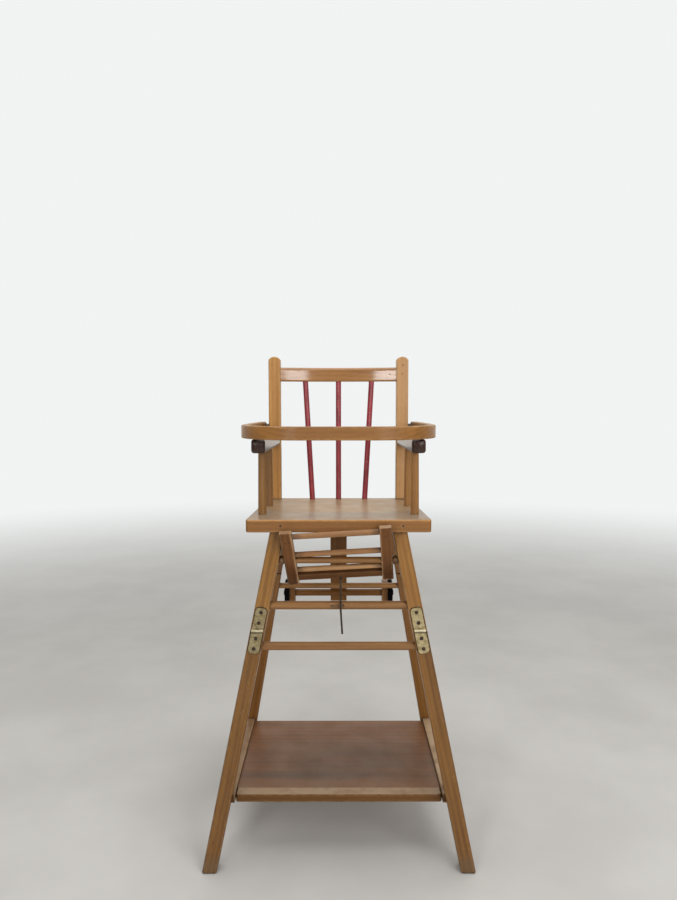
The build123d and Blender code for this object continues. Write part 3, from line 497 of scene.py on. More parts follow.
@dataclass(frozen=True)
class PaintFinish:
    """Brushed gloss paint on wood, chipped through at the edges."""

    name: str
    bright: Paint
    deep: Paint
    chip: Paint
    # Colour of the dirt and painted shade in nooks and gaps.
    dirt_and_shade: Paint
    roughness: float = 0.4
    brushed: float = 0.14
    coat: float = 0.22
    film_rough: float = 0.16
    chips: Pair = (160.0, 0.8)
    grime_and_shade: Pair = (0.01, 0.7)
    relief: Pair = (0.25, 0.0003)

    def material(self, piece: str, grain: Grain) -> Material:
        """Make the paint for one piece.

        Args:
            piece: Name of the piece.
            grain: Direction of the brush strokes.

        Returns:
            The material.
        """
        material, w, shader = open_material(f"{self.name}_{piece}")
        place = w.place()
        along = w.turned(place, grain.turn())
        strokes = w.fit(w.noise(w.draw_out(along, 0.03), scale=420, detail=3))
        clouds = w.fit(w.noise(place, scale=26, detail=3))
        depth = w.times(w.sum("ADD", strokes, clouds), 0.5)
        chips = w.effect(EFFECTS.specks, place, *self.chips).outputs[0]
        # Dirt and painted shade in nooks and gaps, from ambient occlusion.
        grime_and_shade = w.effect(EFFECTS.grime_and_shade, place, *self.grime_and_shade).outputs[0]
        colour = w.blend(depth, linear(self.bright), linear(self.deep))
        colour = w.blend(w.times(chips, 0.5), colour, linear(self.chip))
        colour = w.blend(grime_and_shade, colour, linear(self.dirt_and_shade))
        bump = w.bump(w.sum("SUBTRACT", strokes, chips), *self.relief)
        w.feed(shader, {
            "Base Color": colour,
            "Roughness": w.fit(strokes, 0, 1, self.roughness, self.roughness + self.brushed),
            "Coat Weight": w.times(w.sum("SUBTRACT", 1.0, chips), self.coat),
            "Coat Roughness": self.film_rough, "Normal": bump.outputs[0],
        })
        return material


@dataclass(frozen=True)
class MetalFinish:
    """Old metal with tarnish in clouds and dark spots."""

    name: str
    clean: Paint
    tarnish: Paint
    spot: Paint
    metallic: float = 1.0
    smooth: float = 0.28
    rough: float = 0.55
    spots: Pair = (420.0, 0.8)
    spread: float = 0.6
    edges: Pair = (0.0012, 0.6)
    grime_and_shade: Pair = (0.006, 0.7)
    dulling: float = 0.7
    pitting: float = 0.4
    relief: Pair = (0.3, 0.0002)

    def material(self, piece: str = "all", shade: float = 1.0, patches: Patches = ()) -> Material:
        """Make the metal.

        Args:
            piece: What wears it.
            shade: Painted light: how much brighter or darker it is made than the finish's own
                colours, for how the light falls on it.
            patches: Marks laid on top: wear, and painted highlight and shade.

        Returns:
            The material.
        """
        material, w, shader = open_material(f"{self.name}_{piece}")
        place = w.place()
        clouds = w.fit(w.noise(place, scale=130, detail=5, rough=0.62), low=0.32, high=0.68)
        fine = w.noise(place, scale=900, detail=2)
        specks = w.effect(EFFECTS.specks, place, *self.spots).outputs[0]
        edge = w.effect(EFFECTS.edges, place, *self.edges).outputs[0]
        # Tarnish, dirt and painted shade in nooks and gaps, from ambient occlusion.
        grime_and_shade = w.effect(EFFECTS.grime_and_shade, place, *self.grime_and_shade).outputs[0]
        # The shade share paints light and shade into the metal's own colours.
        clean = linear(self.clean, shade)
        colour = w.blend(w.times(clouds, self.spread), clean, linear(self.tarnish, shade))
        colour = w.blend(edge, colour, clean)
        dark = w.sum("MAXIMUM", specks, grime_and_shade)
        colour = w.blend(dark, colour, linear(self.spot))
        for patch in patches:
            colour = w.blend(patch.mask(w, place, place), colour, linear(patch.colour))
        bare = w.sum("SUBTRACT", 1.0, w.times(dark, self.dulling))
        height = w.sum("SUBTRACT", w.times(fine, self.pitting), specks)
        w.feed(shader, {
            "Base Color": colour, "Metallic": w.times(bare, self.metallic),
            "Roughness": w.fit(w.sum("ADD", clouds, specks), 0, 1, self.smooth, self.rough),
            "Normal": w.bump(height, *self.relief).outputs[0],
        })
        return material


@dataclass(frozen=True)
class BlackFinish:
    """Black rubber, black paint, and the dirt and painted shade round the hinge leaves, greyed by
    handling.
    """

    name: str
    base: Paint
    grey: Paint
    smooth: float
    rough: float
    gloss: float = 0.12
    edges: Pair = (0.002, 0.6)
    clouding: float = 0.4
    relief: Pair = (0.2, 0.0003)

    def material(self) -> Material:
        """Make the material.

        Returns:
            The material.
        """
        material, w, shader = open_material(self.name)
        place = w.place()
        clouds = w.fit(w.noise(place, scale=90, detail=4), low=0.4, high=0.75)
        grain = w.noise(place, scale=1600, detail=2)
        edge = w.effect(EFFECTS.edges, place, *self.edges).outputs[0]
        greyed = w.sum("MAXIMUM", w.times(clouds, self.clouding), edge)
        w.feed(shader, {
            "Base Color": w.blend(greyed, linear(self.base), linear(self.grey)),
            "Roughness": w.fit(clouds, 0, 1, self.smooth, self.rough),
            "Specular IOR Level": self.gloss,
            "Normal": w.bump(grain, *self.relief).outputs[0],
        })
        return material


BEECH = WoodFinish("post_beech", (190, 138, 72), (142, 94, 42), (210, 176, 128), coat=0.5)
BENT_BEECH = WoodFinish(
    "bent_beech", (172, 120, 62), (122, 77, 32), (198, 160, 114), smooth=0.3, rough=0.44, coat=1.0,
    film_rough=0.11,
)
HOOP_BEECH = WoodFinish(
    "hoop_beech", (160, 110, 52), (110, 69, 27), (196, 158, 112), smooth=0.36, rough=0.5, coat=0.45,
    film_rough=0.26, scuffs=0.4,
)
UPPER_LEG = WoodFinish(
    "upper_leg_beech", (178, 128, 60), (110, 70, 26), (200, 162, 112), figure=0.9, scuffs=0.45
)
# Darker than the upper legs: partly age and dirt, partly painted shade, as less light reaches low
# down.
LOWER_LEG = WoodFinish(
    "lower_leg_beech", (142, 97, 40), (80, 48, 12), (190, 152, 104), figure=0.9, scuffs=0.6
)
REAR_LEG = WoodFinish(
    "rear_leg_beech", (144, 98, 46), (92, 57, 22), (180, 138, 92), figure=0.85, scuffs=0.45
)
RUNG = WoodFinish("rung_beech", (150, 106, 56), (104, 66, 27), (190, 154, 108), grime_and_shade=1.0, coat=0.5)
ARM_SPINDLE = WoodFinish(
    "arm_spindle_beech", (158, 112, 58), (110, 73, 33), (196, 158, 112), coat=0.5
)
STEP = WoodFinish(
    "worn_step_beech", (160, 115, 72), (112, 75, 40), (196, 160, 120), (44, 28, 17), smooth=0.42,
    rough=0.58, coat=0.25, grime_and_shade=1.0, scuffs=0.6,
)
# A paler copy of the step finish, for the lower step.
TREAD = replace(
    STEP, name="pale_tread_beech", light=(186, 142, 96), dark=(128, 90, 54), worn=(206, 174, 136)
)
CARRIAGE = WoodFinish(
    "carriage_beech", (132, 87, 38), (86, 54, 18), (150, 112, 72), coat=0.15, gloss=0.2
)
SEAT = WoodFinish(
    "seat_beech", (154, 104, 46), (112, 70, 24), (178, 146, 106), smooth=0.38, rough=0.54, coat=0.3,
    scuffs=0.5, film_rough=0.24, gloss=0.4,
)
SHELF = WoodFinish(
    "shelf_ply", (126, 82, 46), (90, 55, 29), (150, 118, 88), (36, 27, 20), figure=0.65, smooth=0.4,
    rough=0.56, coat=0.2, wear=0.5, scuffs=0.7, film_rough=0.3, gloss=0.35,
)
EDGING = WoodFinish(
    "shelf_edge_beech", (112, 74, 30), (78, 47, 14), (176, 146, 110), coat=0.1, wear=0.9,
    scuffs=0.6, gloss=0.25,
)
STICK = WoodFinish(
    "stick_wood", (124, 78, 36), (76, 45, 17), (194, 158, 118), coat=0.15, wear=0.9, gloss=0.25
)
SLAT = WoodFinish(
    "slat_wood", (112, 74, 40), (70, 43, 20), (140, 102, 66), coat=0.1, wear=0.4, gloss=0.2
)
LACQUER = WoodFinish(
    "arm_lacquer", (58, 32, 22), (32, 18, 11), (92, 60, 42), (16, 10, 7), figure=0.6, smooth=0.32,
    rough=0.44, coat=0.8, wear=0.3, scuffs=0.15, film_rough=0.1, gloss=0.1, soft=0.016,
)
CRIMSON = PaintFinish("crimson_paint", (162, 46, 56), (112, 23, 33), (170, 116, 86), (52, 20, 18))
BRASS = MetalFinish("aged_brass", (199, 184, 144), (127, 111, 74), (50, 36, 20), spread=0.8)
STEEL = MetalFinish(
    "dark_steel", (82, 72, 62), (46, 35, 27), (66, 38, 22), metallic=0.85, smooth=0.36, rough=0.6
)
RUSTED = MetalFinish(
    "rusted_wire", (120, 92, 64), (82, 56, 36), (56, 34, 20), metallic=0.55, smooth=0.42,
    rough=0.66,
)
TYRE = BlackFinish("tyre_rubber", (4, 5, 8), (18, 18, 21), smooth=0.6, rough=0.8, gloss=0.05)
DISC = BlackFinish("wheel_paint", (10, 10, 12), (40, 38, 36), smooth=0.35, rough=0.55)
# Dirt and painted shade for the dark line round the hinge leaves.
LEAF_DIRT_AND_SHADE = BlackFinish("leaf_dirt_and_shade", (34, 22, 13), (58, 42, 26), smooth=0.75, rough=0.9)


def put_on(material: Material, *nodes: str) -> None:
    """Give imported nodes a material.

    Args:
        material: The material.
        nodes: Names of the nodes that wear it.
    """
    for node in nodes:
        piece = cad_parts[node]
        for place in piece.material_slots:
            place.material = material
        LOG.info("dressed %s in %s", node, material.name)


CREASE = math.radians(32)


def add_piece(name: str, mesh: Mesh, material: Material, body: str) -> None:
    """Turn a mesh into a piece that rides on a body.

    Args:
        name: Name of the piece.
        mesh: Its mesh, in the shared frame. It is freed.
        material: What it is made of.
        body: The body that carries it.
    """
    bmesh.ops.recalc_face_normals(mesh, faces=mesh.faces)
    data = bpy.data.meshes.new(name)
    mesh.to_mesh(data)
    mesh.free()
    data.materials.append(material)
    for face in data.polygons:
        face.use_smooth = True
    data.set_sharp_from_angle(angle=CREASE)
    piece = bpy.data.objects.new(name, data)
    bpy.context.scene.collection.objects.link(piece)
    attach(piece, body)
    LOG.info("added %s on %s", name, body)


def turn_on_lathe(mesh: Mesh, profile: list[Pair], at: Point, axis: Point, steps: int) -> None:
    """Add a turned shape to a mesh.

    Args:
        mesh: The mesh that grows.
        profile: Radius and height of each point, from one end of the axis to the other.
        at: Where height 0 lies.
        axis: Direction of the height.
        steps: Number of facets round the axis.
    """
    turn = Vector(UP).rotation_difference(Vector(axis).normalized()).to_matrix().to_4x4()
    place = Matrix.Translation(at) @ turn
    angles = [2 * math.pi * step / steps for step in range(steps)]
    rows: list[list[bmesh.types.BMVert]] = []
    for radius, height in profile:
        ring = [(0.0, 0.0)]
        if radius > 0:
            ring = [(radius * math.cos(angle), radius * math.sin(angle)) for angle in angles]
        rows.append([mesh.verts.new(place @ Vector((x, y, height))) for x, y in ring])
    for low, high in zip(rows, rows[1:]):
        for step in range(max(len(low), len(high))):
            after = (step + 1) % steps
            corners = [
                low[step % len(low)], low[after % len(low)],
                high[after % len(high)], high[step % len(high)],
            ]
            mesh.faces.new(list(dict.fromkeys(corners)))


@dataclass(frozen=True)
class NailHeads:
    """Small domed nail heads, sunk a little into the wood.

    The outline is given in shares of the radius and of the dome's height.
    """

    radius: float
    dome: float
    outline: tuple[Pair, ...] = ((0, -1), (1, -1), (1, 0.3), (0.86, 0.75), (0.5, 1), (0, 1.05))
    facets: int = 20

    def add(
        self, name: str, places: list[tuple[Point, Point]], material: Material, body: str
    ) -> None:
        """Add a group of nail heads as one piece.

        Args:
            name: Name of the piece.
            places: Where each head sits, and the way it faces.
            material: Its metal.
            body: The body that carries it.
        """
        mesh = bmesh.new()
        profile = [(self.radius * wide, self.dome * high) for wide, high in self.outline]
        for at, facing in places:
            turn_on_lathe(mesh, profile, at, facing, self.facets)
        add_piece(name, mesh, material, body)


@dataclass
class Assembly:
    """A part of the chair, with the metal of its small fittings."""

    steel: Material


@dataclass
class SeatAndBack(Assembly):
    """Seat board, back posts, bowed rail and painted spindles."""

    seat_top: float = 0.647
    seat_front: float = -0.17
    top_sheen: Pair = (0.0012, 0.0002)
    arris: Pair = (0.0026, 0.0014)
    hoop_shadow_middle: float = 0.405
    hoop_shadow_ring: Pair = (0.478, 0.494)
    hoop_shadow_depth: float = 0.001
    post_foot_dirt_and_shadow: Pair = (0.0034, 0.0016)
    right_post_light_depths: Pair = (0.1, 0.05)
    nail_places: tuple[Point, ...] = (
        (0.138, 0.09, 0.9356), (0.1365, 0.09, 0.9166), (0.1104, 0.0978, 0.9166)
    )
    nails: NailHeads = NailHeads(0.0013, 0.0004)

    def dress(self) -> None:
        """Give each piece its finish and nail the rail to the posts."""
        top, slope = self.seat_top, math.sqrt(0.5)
        corner = slope * (top - self.seat_front)
        # The seat's marks: a painted sheen and the hoop's painted shadow on its top, and a paler
        # front edge.
        wear = (
            # Painted sheen: the top face paler and greyer, for the bright room it reflects.
            Patch(UP, under(top, self.top_sheen), (162, 136, 104), 0.9, 14.0),
            # Painted shadow of the hoop: the top greyer in front of an arc.
            Patch(
                (1, 1, 0), self.hoop_shadow_ring, (140, 125, 110), 0.8, 20.0, PatchShape.AROUND,
                (0, self.hoop_shadow_middle, top), top - self.hoop_shadow_depth,
            ),
            Patch((0, -slope, slope), under(corner, self.arris), (190, 138, 78), 0.7, 60.0),
        )
        put_on(SEAT.material("seat", Grain.ACROSS, wear), "seat_board")
        # A dark line at the foot of each post: dirt, and a painted shadow where it meets the seat.
        foot = Patch(DOWN, under(-top, self.post_foot_dirt_and_shadow), (44, 29, 18), 0.85, 40.0)
        # Painted light: the right post made paler and greyer, as more light falls on the right.
        right_post_painted_light = Patch(UP, under(top, self.right_post_light_depths), (200, 168, 136), 0.3, 12.0)
        for side, patches in (("left", (foot,)), ("right", (right_post_painted_light, foot))):
            put_on(BEECH.material(f"post_{side}", Grain.UPRIGHT, patches), f"back_post_{side}")
        put_on(BENT_BEECH.material("rail", Grain.ACROSS), "back_rail")
        for side in ("left", "centre", "right"):
            put_on(CRIMSON.material(side, Grain.UPRIGHT), f"back_spindle_{side}")
        heads = [(place, FORWARD) for place in self.nail_places]
        self.nails.add("rail_nails", heads, self.steel, "seat_unit")


@dataclass
class Arms(Assembly):
    """Lacquered arms on varnished spindles."""

    # Painted light: the left spindles made darker and the right ones lighter, for how the light
    # falls.
    painted_light_shares: Pair = (0.78, 1.16)

    def dress(self) -> None:
        """Give each piece its finish."""
        for (side, _), shade in zip(SIDES, self.painted_light_shares):
            put_on(LACQUER.material(f"arm_{side}", Grain.DEEP), f"arm_{side}")
            for place in ("front", "rear"):
                name = f"arm_spindle_{place}_{side}"
                put_on(ARM_SPINDLE.material(name, Grain.UPRIGHT, (), shade), name)


@dataclass
class Guard(Assembly):
    """Bent hoop that swings on two bolts."""

    def dress(self) -> None:
        """Give the hoop and its bolts their finish."""
        put_on(HOOP_BEECH.material("hoop", Grain.ACROSS), "guard_hoop")
        put_on(self.steel, "guard_pivot_bolts")


@dataclass
class Legs(Assembly):
    """Upper and lower legs with their rungs."""

    foot_wear: Pair = (-0.045, -0.012)
    sole_dirt: Pair = (-0.005, -0.001)
    # Painted light: the left front legs made darker, for how the light falls.
    painted_light_shares: Pair = (0.86, 1.0)

    def dress(self) -> None:
        """Give each leg and rung its finish, with the feet scuffed and dirty."""
        worn = (
            Patch(DOWN, self.foot_wear, (96, 77, 53), 0.7, 60.0),
            Patch(DOWN, self.sole_dirt, (48, 39, 31), 0.9, 90.0),
        )
        for (side, _), shade in zip(SIDES, self.painted_light_shares):
            front, rear = (Grain[f"{end}_{side}".upper()] for end in ("front", "rear"))
            piece = f"front_{side}"
            put_on(UPPER_LEG.material(piece, front, (), shade), f"upper_front_leg_{side}")
            put_on(REAR_LEG.material(f"upper_{side}", rear), f"upper_rear_leg_{side}")
            put_on(LOWER_LEG.material(piece, front, worn, shade), f"lower_front_leg_{side}")
            put_on(REAR_LEG.material(f"lower_{side}", rear, worn), f"lower_rear_leg_{side}")
        for rung in ("upper_front_rung", "lower_front_rung", "lower_rear_rung", "footrest_dowel"):
            put_on(RUNG.material(rung, Grain.ACROSS), rung)
        put_on(self.steel, "rear_leg_studs", "seat_nails")


@dataclass
class Footrest(Assembly):
    """Ladder footrest on its dowel."""

    pivot: Point = (0.0, -0.143381, 0.5681)
    lean: float = math.radians(34.68)
    rack: float = math.radians(4.5)
    half_spacing: float = 0.08856
    half_width: float = 0.0105
    half_thickness: float = 0.008
    stick_top: float = 0.0794
    stick_foot: float = 0.0515
    top_slope: float = math.radians(30)
    end_skin: Pair = (0.002, 0.0004)
    inner_skin: Pair = (0.0026, 0.0012)
    darker_below: Pair = (0.09, 0.0)
    soiled: Pair = (0.022, 0.002)
    nail_spots: tuple[Pair, ...] = ((-0.0905, 0.0585), (-0.0835, 0.06), (0.0885, 0.061))
    nails: NailHeads = NailHeads(0.0013, 0.0005)

    def ways(self) -> tuple[Vector, Vector, Vector]:
        """Find the ladder's directions.

        Returns:
            The directions across it, up along its sticks and out of its front.
        """
        lean, rack = (math.cos(self.lean), math.sin(self.lean)), math.sin(self.rack)
        across = Vector((math.cos(self.rack), -rack * lean[1], rack * lean[0]))
        out = Vector((0, -lean[0], -lean[1]))
        return across, out.cross(across), out

    def place(self, *distances: float) -> Vector:
        """Find a point of the ladder by its distances across, up and out from the pivot."""
        steps = (distance * way for distance, way in zip(distances, self.ways()))
        return sum(steps, Vector(self.pivot))

    def dress(self) -> None:
        """Give sticks, steps and slat their finish, and nail the top step."""
        across, _, facing = self.ways()
        for side, sign in SIDES:
            stick = STICK.material(side, Grain.LADDER_UP, self._stick_wear(sign))
            put_on(stick, f"footrest_stick_{side}")
        middle, inner = across.dot(Vector(self.pivot)), self.half_spacing - self.half_width
        soil = (72, 49, 31)
        ends = tuple(
            Patch(tuple(sign * across), under(sign * middle + inner, self.soiled), soil, 0.75, 90.0)
            for _, sign in SIDES
        )
        for step, finish in (("top", STEP), ("upper", STEP), ("lower", TREAD)):
            name = f"footrest_{step}_step"
            put_on(finish.material(name, Grain.LADDER_ACROSS, ends), name)
        put_on(SLAT.material("slat", Grain.LADDER_ACROSS), "footrest_slat")
        put_on(RUSTED.material(), "footrest_sleeves", "latch_staple")
        face = self.half_thickness
        heads = [(self.place(along, height, face), facing) for along, height in self.nail_spots]
        self.nails.add("step_nails", heads, self.steel, "footrest")

    def _stick_wear(self, sign: int) -> Patches:
        """Patches of one stick: dark below, worn inside and pale on its cut top end.

        Args:
            sign: -1 for the left stick, 1 for the right one.

        Returns:
            The patches, the lowest first.
        """
        across, up, out = self.ways()
        low = -up.dot(self.place(0, -self.stick_foot, 0))
        inward = -sign * across
        inner = inward.dot(self.place(sign * (self.half_spacing - self.half_width), 0, 0))
        cut = math.cos(self.top_slope) * up - math.sin(self.top_slope) * out
        end = cut.dot(self.place(sign * self.half_spacing, self.stick_top, 0))
        return (
            # The stick darker towards its foot.
            Patch(tuple(-up), under(low, self.darker_below), (62, 38, 21), 0.75, 30.0),
            Patch(tuple(inward), under(inner, self.inner_skin), (190, 152, 112), 0.6, 40.0),
            Patch(tuple(cut), under(end, self.end_skin), (168, 134, 100), 0.85, 80.0),
        )


@dataclass
class Carriage(Assembly):
    """Strut, cross rung, cheeks and two small wheels."""

    axle: Pair = (0.141468, 0.4294)
    wheel_middle: float = 0.115
    wheel_radius: float = 0.03
    disc_radius: float = 0.021
    disc_half_width: float = 0.004
    rib_height: float = 0.0004
    rib_sink: float = 0.0006
    rib_spacing: float = 0.0012
    rib_foot: float = 0.0004
    rib_crown: float = 0.0002
    rib_facets: int = 72
    hub_bead: float = 0.0095
    rim_inset: float = 0.0024
    bead_sink: float = 0.0003
    bead_height: float = 0.0008
    bead_foot: float = 0.0014
    bead_crown: float = 0.0006
    bead_facets: int = 60

    def dress(self) -> None:
        """Give each piece its finish, with ribs on the tyres and beads on the discs."""
        put_on(CARRIAGE.material("strut", Grain.STRUT), "carriage_strut")
        put_on(CARRIAGE.material("axle", Grain.ACROSS), "axle_rung")
        tyre, disc = TYRE.material(), DISC.material()
        for side, sign in SIDES:
            put_on(CARRIAGE.material(f"cheek_{side}", Grain.UPRIGHT), f"wheel_cheek_{side}")
            put_on(tyre, f"wheel_tyre_{side}")
            put_on(disc, f"wheel_disc_{side}")
            wheel, middle = f"wheel_{side}", (sign * self.wheel_middle, *self.axle)
            add_piece(f"tyre_ribs_{side}", self._ribs(middle), tyre, wheel)
            add_piece(f"disc_beads_{side}", self._beads(middle), disc, wheel)
        put_on(self.steel, "wheel_bolts")

    def _ribs(self, middle: Point) -> Mesh:
        """Raise three low ribs round a tyre.

        Args:
            middle: Middle of the wheel.

        Returns:
            The mesh.
        """
        mesh = bmesh.new()
        low, high = self.wheel_radius - self.rib_sink, self.wheel_radius + self.rib_height
        foot, crown = self.rib_foot, self.rib_crown
        for at in (-self.rib_spacing, 0.0, self.rib_spacing):
            ring = [(low, at - foot), (high, at - crown), (high, at + crown), (low, at + foot)]
            turn_on_lathe(mesh, ring + ring[:1], middle, RIGHT, self.rib_facets)
        return mesh

    def _beads(self, middle: Point) -> Mesh:
        """Press a round bead into both faces of a disc, near its rim and round its hub.

        Args:
            middle: Middle of the wheel.

        Returns:
            The mesh.
        """
        mesh = bmesh.new()
        low = self.disc_half_width - self.bead_sink
        high = low + self.bead_height
        foot, crown = self.bead_foot, self.bead_crown
        for way in (-1, 1):
            for at in (self.hub_bead, self.disc_radius - self.rim_inset):
                ring = [(at - foot, low), (at - crown, high), (at + crown, high), (at + foot, low)]
                turn_on_lathe(mesh, ring + ring[:1], middle, (way, 0, 0), self.bead_facets)
        return mesh


@dataclass
class Shelf(Assembly):
    """Shelf board with its edging, between two stretchers."""

    top: float = 0.125
    rear: float = 0.1557
    rail_top: float = 0.131
    top_sheen: Pair = (0.0012, 0.0002)
    rail_skin: Pair = (0.0016, 0.0004)
    rear_edge_highlight: Pair = (0.0035, 0.001)
    dusty: Pair = (0.07, 0.13)
    stain_middle: Point = (0.03, -0.03, 0.125)
    stain_scale: Point = (2.2, 7.0, 0.0)
    stain_fade: Pair = (1.0, 0.1)
    streak_middle: Point = (-0.07, -0.081, 0.125)
    streak_scale: Point = (4.6, 42.0, 0.0)
    streak_fade: Pair = (1.0, 0.3)
    rail_end_shadow: Pair = (0.115, 0.135)
    rail_sheen_shares: Pair = (0.4, 0.9)

    def dress(self) -> None:
        """Give board, edging, stretchers and screws their finish, with a painted sheen on top of
        the edging.
        """
        shape, stain, streak = PatchShape.AROUND, self.stain_middle, self.streak_middle
        # The board's marks: stains, dust towards the front, a smudged streak, and a painted
        # highlight along the rear edge.
        wear = (
            Patch(self.stain_scale, self.stain_fade, (70, 55, 44), 0.55, 18.0, shape, stain),
            Patch(FORWARD, self.dusty, (122, 92, 68), 0.45, 10.0),
            Patch(self.streak_scale, self.streak_fade, (60, 50, 43), 0.5, 30.0, shape, streak),
            # Painted highlight: a pale line along the rear edge.
            Patch(BACKWARD, under(self.rear, self.rear_edge_highlight), (150, 122, 96), 0.7, 40.0),
        )
        put_on(SHELF.material("board", Grain.ACROSS, wear), "shelf_board")
        # Painted sheen: the top face of the edging paler.
        pale = Patch(UP, under(self.top, self.top_sheen), (160, 134, 106), 0.95, 26.0)
        put_on(EDGING.material("edging", Grain.ACROSS, (pale,)), "shelf_edging")
        # Painted shadow: the front ends of the stretchers darker.
        dark = Patch(FORWARD, self.rail_end_shadow, (84, 56, 26), 0.85, 40.0)
        rail_top = under(self.rail_top, self.rail_skin)
        # Painted sheen on the top of each stretcher, stronger on the right, where more light falls.
        for (side, _), rubbed in zip(SIDES, self.rail_sheen_shares):
            worn = Patch(UP, rail_top, (176, 148, 116), rubbed, 26.0)
            rail = EDGING.material(f"stretcher_{side}", Grain.DEEP, (worn, dark))
            put_on(rail, f"side_stretcher_{side}")
        put_on(self.steel, "shelf_screws")


@dataclass
class Metalwork(Assembly):
    """Hinges, screws and the wire latch."""

    hinge: Point = (0.147372, -0.165932, 0.4437)
    rake: float = 0.0607
    splay: float = 0.2011
    leaf_half_width: float = 0.01025
    leaf_length: float = 0.042
    leaf_corner: float = 0.007
    leaf_start: float = 0.004
    corner_steps: int = 8
    dark_line_width: float = 0.0013
    dark_line_height: float = 0.0004
    dark_line_sink: float = 0.0002
    knuckle_fade: Pair = (0.0030, 0.0018)
    knuckle_rise: float = 0.0008
    knuckle_shadow_fade: Pair = (0.0021, 0.0012)
    knuckle_shadow_drop: float = 0.0030
    painted_light_shares: Pair = (0.88, 1.2)

    def dress(self) -> None:
        """Give the brass and the dark steel their finish, and bed the leaves in a dark line of dirt
        and painted shade.
        """
        dirt_and_shade, shape, height = LEAF_DIRT_AND_SHADE.material(), PatchShape.AROUND, self.hinge[2]
        knuckle, knuckle_shadow = (0, 0, height + self.knuckle_rise), (0, 0, height - self.knuckle_shadow_drop)
        # The knuckle worn bright and given a painted highlight, and a painted shadow in the gap
        # below it.
        marks = (
            Patch(UP, self.knuckle_fade, (206, 197, 166), 0.9, 60.0, shape, knuckle),
            Patch(UP, self.knuckle_shadow_fade, (46, 37, 24), 0.95, 90.0, shape, knuckle_shadow),
        )
        # Painted light: the left hinge darker and the right one brighter, for how the light falls.
        for (side, sign), shade in zip(SIDES, self.painted_light_shares):
            brass = BRASS.material(side, shade, marks)
            put_on(brass, f"hinge_upper_leaf_{side}", f"hinge_lower_leaf_{side}")
            for half, way, body in (("upper", 1, "seat_unit"), ("lower", -1, "lower_frame")):
                # A dark line round the leaf: dirt, and painted shade where the leaf stands off the
                # leg.
                bed = self._bed(sign, way)
                add_piece(f"leaf_bed_{half}_{side}", bed, dirt_and_shade, body)
        put_on(BRASS.material("pins", 1.0, marks), "hinge_pins")
        put_on(self.steel, "hinge_screws_upper", "hinge_screws_lower", "latch_hook")

    def _bed(self, sign: int, half: int) -> Mesh:
        """Lay a thin dark line of dirt and painted shade round one hinge leaf.

        Args:
            sign: -1 on the left leg, 1 on the right one.
            half: 1 above the hinge, -1 below it.

        Returns:
            The mesh.
        """
        normal = Vector((0, -1, self.rake)).normalized()
        up = normal.cross(Vector(RIGHT)).normalized()
        face = Vector((sign * self.hinge[0], self.hinge[1], self.hinge[2]))
        splay = math.atan(self.splay / math.sqrt(1 + self.rake ** 2))
        turn = Matrix.Rotation(sign * splay, 3, normal)
        across_way, up_way = turn @ Vector(RIGHT), half * (turn @ up)
        outline = self._outline()
        mesh = bmesh.new()
        bottom, top = (
            [mesh.verts.new(face + x * across_way + y * up_way + lift * normal) for x, y in outline]
            for lift in (-self.dark_line_sink, self.dark_line_height)
        )
        mesh.faces.new(top)
        mesh.faces.new(list(reversed(bottom)))
        for spot in range(len(outline)):
            after = (spot + 1) % len(outline)
            mesh.faces.new([bottom[spot], bottom[after], top[after], top[spot]])
        return mesh

    def _outline(self) -> list[Pair]:
        """Outline of the dark line round a leaf: straight at the hinge, round at the far corners.

        Returns:
            The points, as distances across the leaf and away from the hinge.
        """
        wide = self.leaf_half_width + self.dark_line_width
        corner = self.leaf_corner + self.dark_line_width
        far = self.leaf_length + self.dark_line_width - corner
        points = [(-wide, self.leaf_start), (wide, self.leaf_start)]
        for middle, first in ((wide - corner, 0), (corner - wide, 90)):
            for step in range(self.corner_steps + 1):
                angle = math.radians(first + step * 90 / self.corner_steps)
                points.append((middle + corner * math.cos(angle), far + corner * math.sin(angle)))
        return points


@dataclass(frozen=True)
class Lamp:
    """One soft lamp, with its width and height in metres and its power in watts."""

    name: str
    at: Point
    size: Pair
    power: float
    aim: Point = (0.0, 0.0, 0.55)

    def hang(self) -> None:
        """Hang the lamp so that it faces the chair."""
        data = bpy.data.lights.new(self.name, "AREA")
        data.shape = "RECTANGLE"
        data.size, data.size_y = self.size
        data.energy = self.power
        lamp = bpy.data.objects.new(self.name, data)
        lamp.location = self.at
        lamp.rotation_mode = "QUATERNION"
        lamp.rotation_quaternion = (Vector(self.aim) - Vector(self.at)).to_track_quat("-Z", "Y")
        bpy.context.scene.collection.objects.link(lamp)


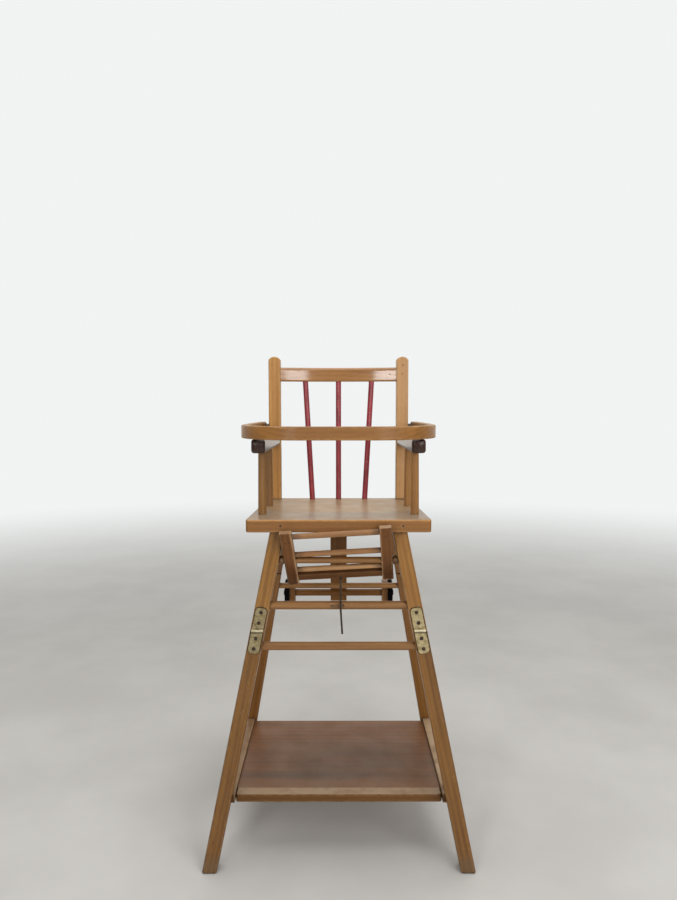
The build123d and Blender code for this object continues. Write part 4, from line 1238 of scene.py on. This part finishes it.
@dataclass
class Studio:
    """Pale floor, soft lights and the camera."""

    camera_place: Point = (0.0, -1.41, 0.857)
    camera_pitch: float = 3.92
    camera_roll: float = -0.05
    lens: float = 28.0
    sensor: float = 36.0
    backdrop: Colour = (0.88, 0.9, 0.895, 1.0)
    reflected: Colour = (0.94, 0.87, 0.78, 1.0)
    front_level: float = 0.22
    front_fade: Pair = (0.1, 0.7)
    sky: Colour = (1, 0.99, 0.97, 1)
    sky_level: float = 0.42
    floor_radius: float = 12.0
    floor_shades: tuple[Paint, Paint] = ((206, 204, 200), (196, 194, 190))
    floor_rough: float = 0.7
    floor_fade: Pair = (1.2, 5.0)
    lamps: tuple[Lamp, ...] = (
        Lamp("window_left", (-1.1, -2.7, 1.3), (0.54, 0.8), 16),
        Lamp("window_right", (0.97, -2.7, 1.3), (0.54, 0.8), 13.5),
        Lamp("fill", (1.8, -2.4, 1.9), (1.4, 1.4), 29),
        Lamp("ceiling", (0.0, -0.2, 3.1), (2.6, 2.6), 42),
    )

    def build(self) -> None:
        """Make everything around the chair."""
        self._camera()
        self._floor()
        self._world()
        for lamp in self.lamps:
            lamp.hang()

    def _camera(self) -> None:
        """Stand the camera where the chair is seen from."""
        data = bpy.data.cameras.new("camera")
        data.lens = self.lens
        data.sensor_width = self.sensor
        camera = bpy.data.objects.new("camera", data)
        pitch = Matrix.Rotation(math.radians(90 - self.camera_pitch), 4, "X")
        roll = Matrix.Rotation(math.radians(self.camera_roll), 4, "Z")
        camera.matrix_world = Matrix.Translation(self.camera_place) @ pitch @ roll
        bpy.context.scene.collection.objects.link(camera)
        bpy.context.scene.camera = camera

    def _floor(self) -> None:
        """Lay a pale floor that fades into the backdrop far away."""
        mesh = bmesh.new()
        bmesh.ops.create_circle(mesh, cap_ends=True, segments=96, radius=self.floor_radius)
        data = bpy.data.meshes.new("floor")
        mesh.to_mesh(data)
        mesh.free()
        floor = bpy.data.objects.new("floor", data)
        bpy.context.scene.collection.objects.link(floor)
        material, w, shader = open_material("floor")
        place = w.place()
        clouds = w.fit(w.noise(place, scale=3, detail=4))
        colour = w.blend(clouds, *(linear(shade) for shade in self.floor_shades))
        w.feed(shader, {"Base Color": colour, "Roughness": self.floor_rough})
        far = w.fit(w.vector("LENGTH", place), *self.floor_fade)
        share = w.times(far, w.node("ShaderNodeLightPath").outputs["Is Camera Ray"])
        glow = w.node("ShaderNodeEmission", {"Color": self.backdrop}).outputs[0]
        mixed = w.node("ShaderNodeMixShader", {0: share, 1: shader.outputs[0], 2: glow})
        sink = next(node for node in w.tree.nodes if node.type == "OUTPUT_MATERIAL")
        w.feed(sink, {"Surface": mixed.outputs[0]})
        data.materials.append(material)

    def _world(self) -> None:
        """Soft sky, with the pale backdrop for what the camera sees.

        Reflections see it too, warmer, and less bright in front of the chair.
        """
        world = bpy.data.worlds.new("studio")
        world.use_nodes = True
        bpy.context.scene.world = world
        world.node_tree.nodes.clear()
        w = Wiring(world.node_tree)
        path = w.node("ShaderNodeLightPath").outputs
        direct = w.sum("MAXIMUM", path["Is Camera Ray"], path["Is Transmission Ray"])
        seen = w.sum("MAXIMUM", direct, path["Is Glossy Ray"])
        sky = w.node("ShaderNodeBackground", {"Color": self.sky, "Strength": self.sky_level})
        way = w.node("ShaderNodeTexCoord").outputs["Generated"]
        depth = w.node("ShaderNodeSeparateXYZ", {0: way}).outputs["Y"]
        level = w.fit(depth, *self.front_fade, start=self.front_level)
        level = w.sum("MAXIMUM", level, direct)
        hue = w.blend(path["Is Glossy Ray"], self.backdrop, self.reflected)
        plain = w.node("ShaderNodeBackground", {"Color": hue, "Strength": level})
        mixed = w.node("ShaderNodeMixShader", {0: seen, 1: sky.outputs[0], 2: plain.outputs[0]})
        w.node("ShaderNodeOutputWorld", {"Surface": mixed.outputs[0]})


def main() -> None:
    """Dress the chair piece by piece and set up the studio."""
    logging.basicConfig(level=logging.INFO, format="%(name)s: %(message)s")
    bpy.context.scene.view_settings.view_transform = "Standard"
    steel = STEEL.material()
    for part in (SeatAndBack, Arms, Guard, Legs, Footrest, Carriage, Shelf, Metalwork):
        part(steel).dress()
    Studio().build()


if __name__ == "__main__":
    main()
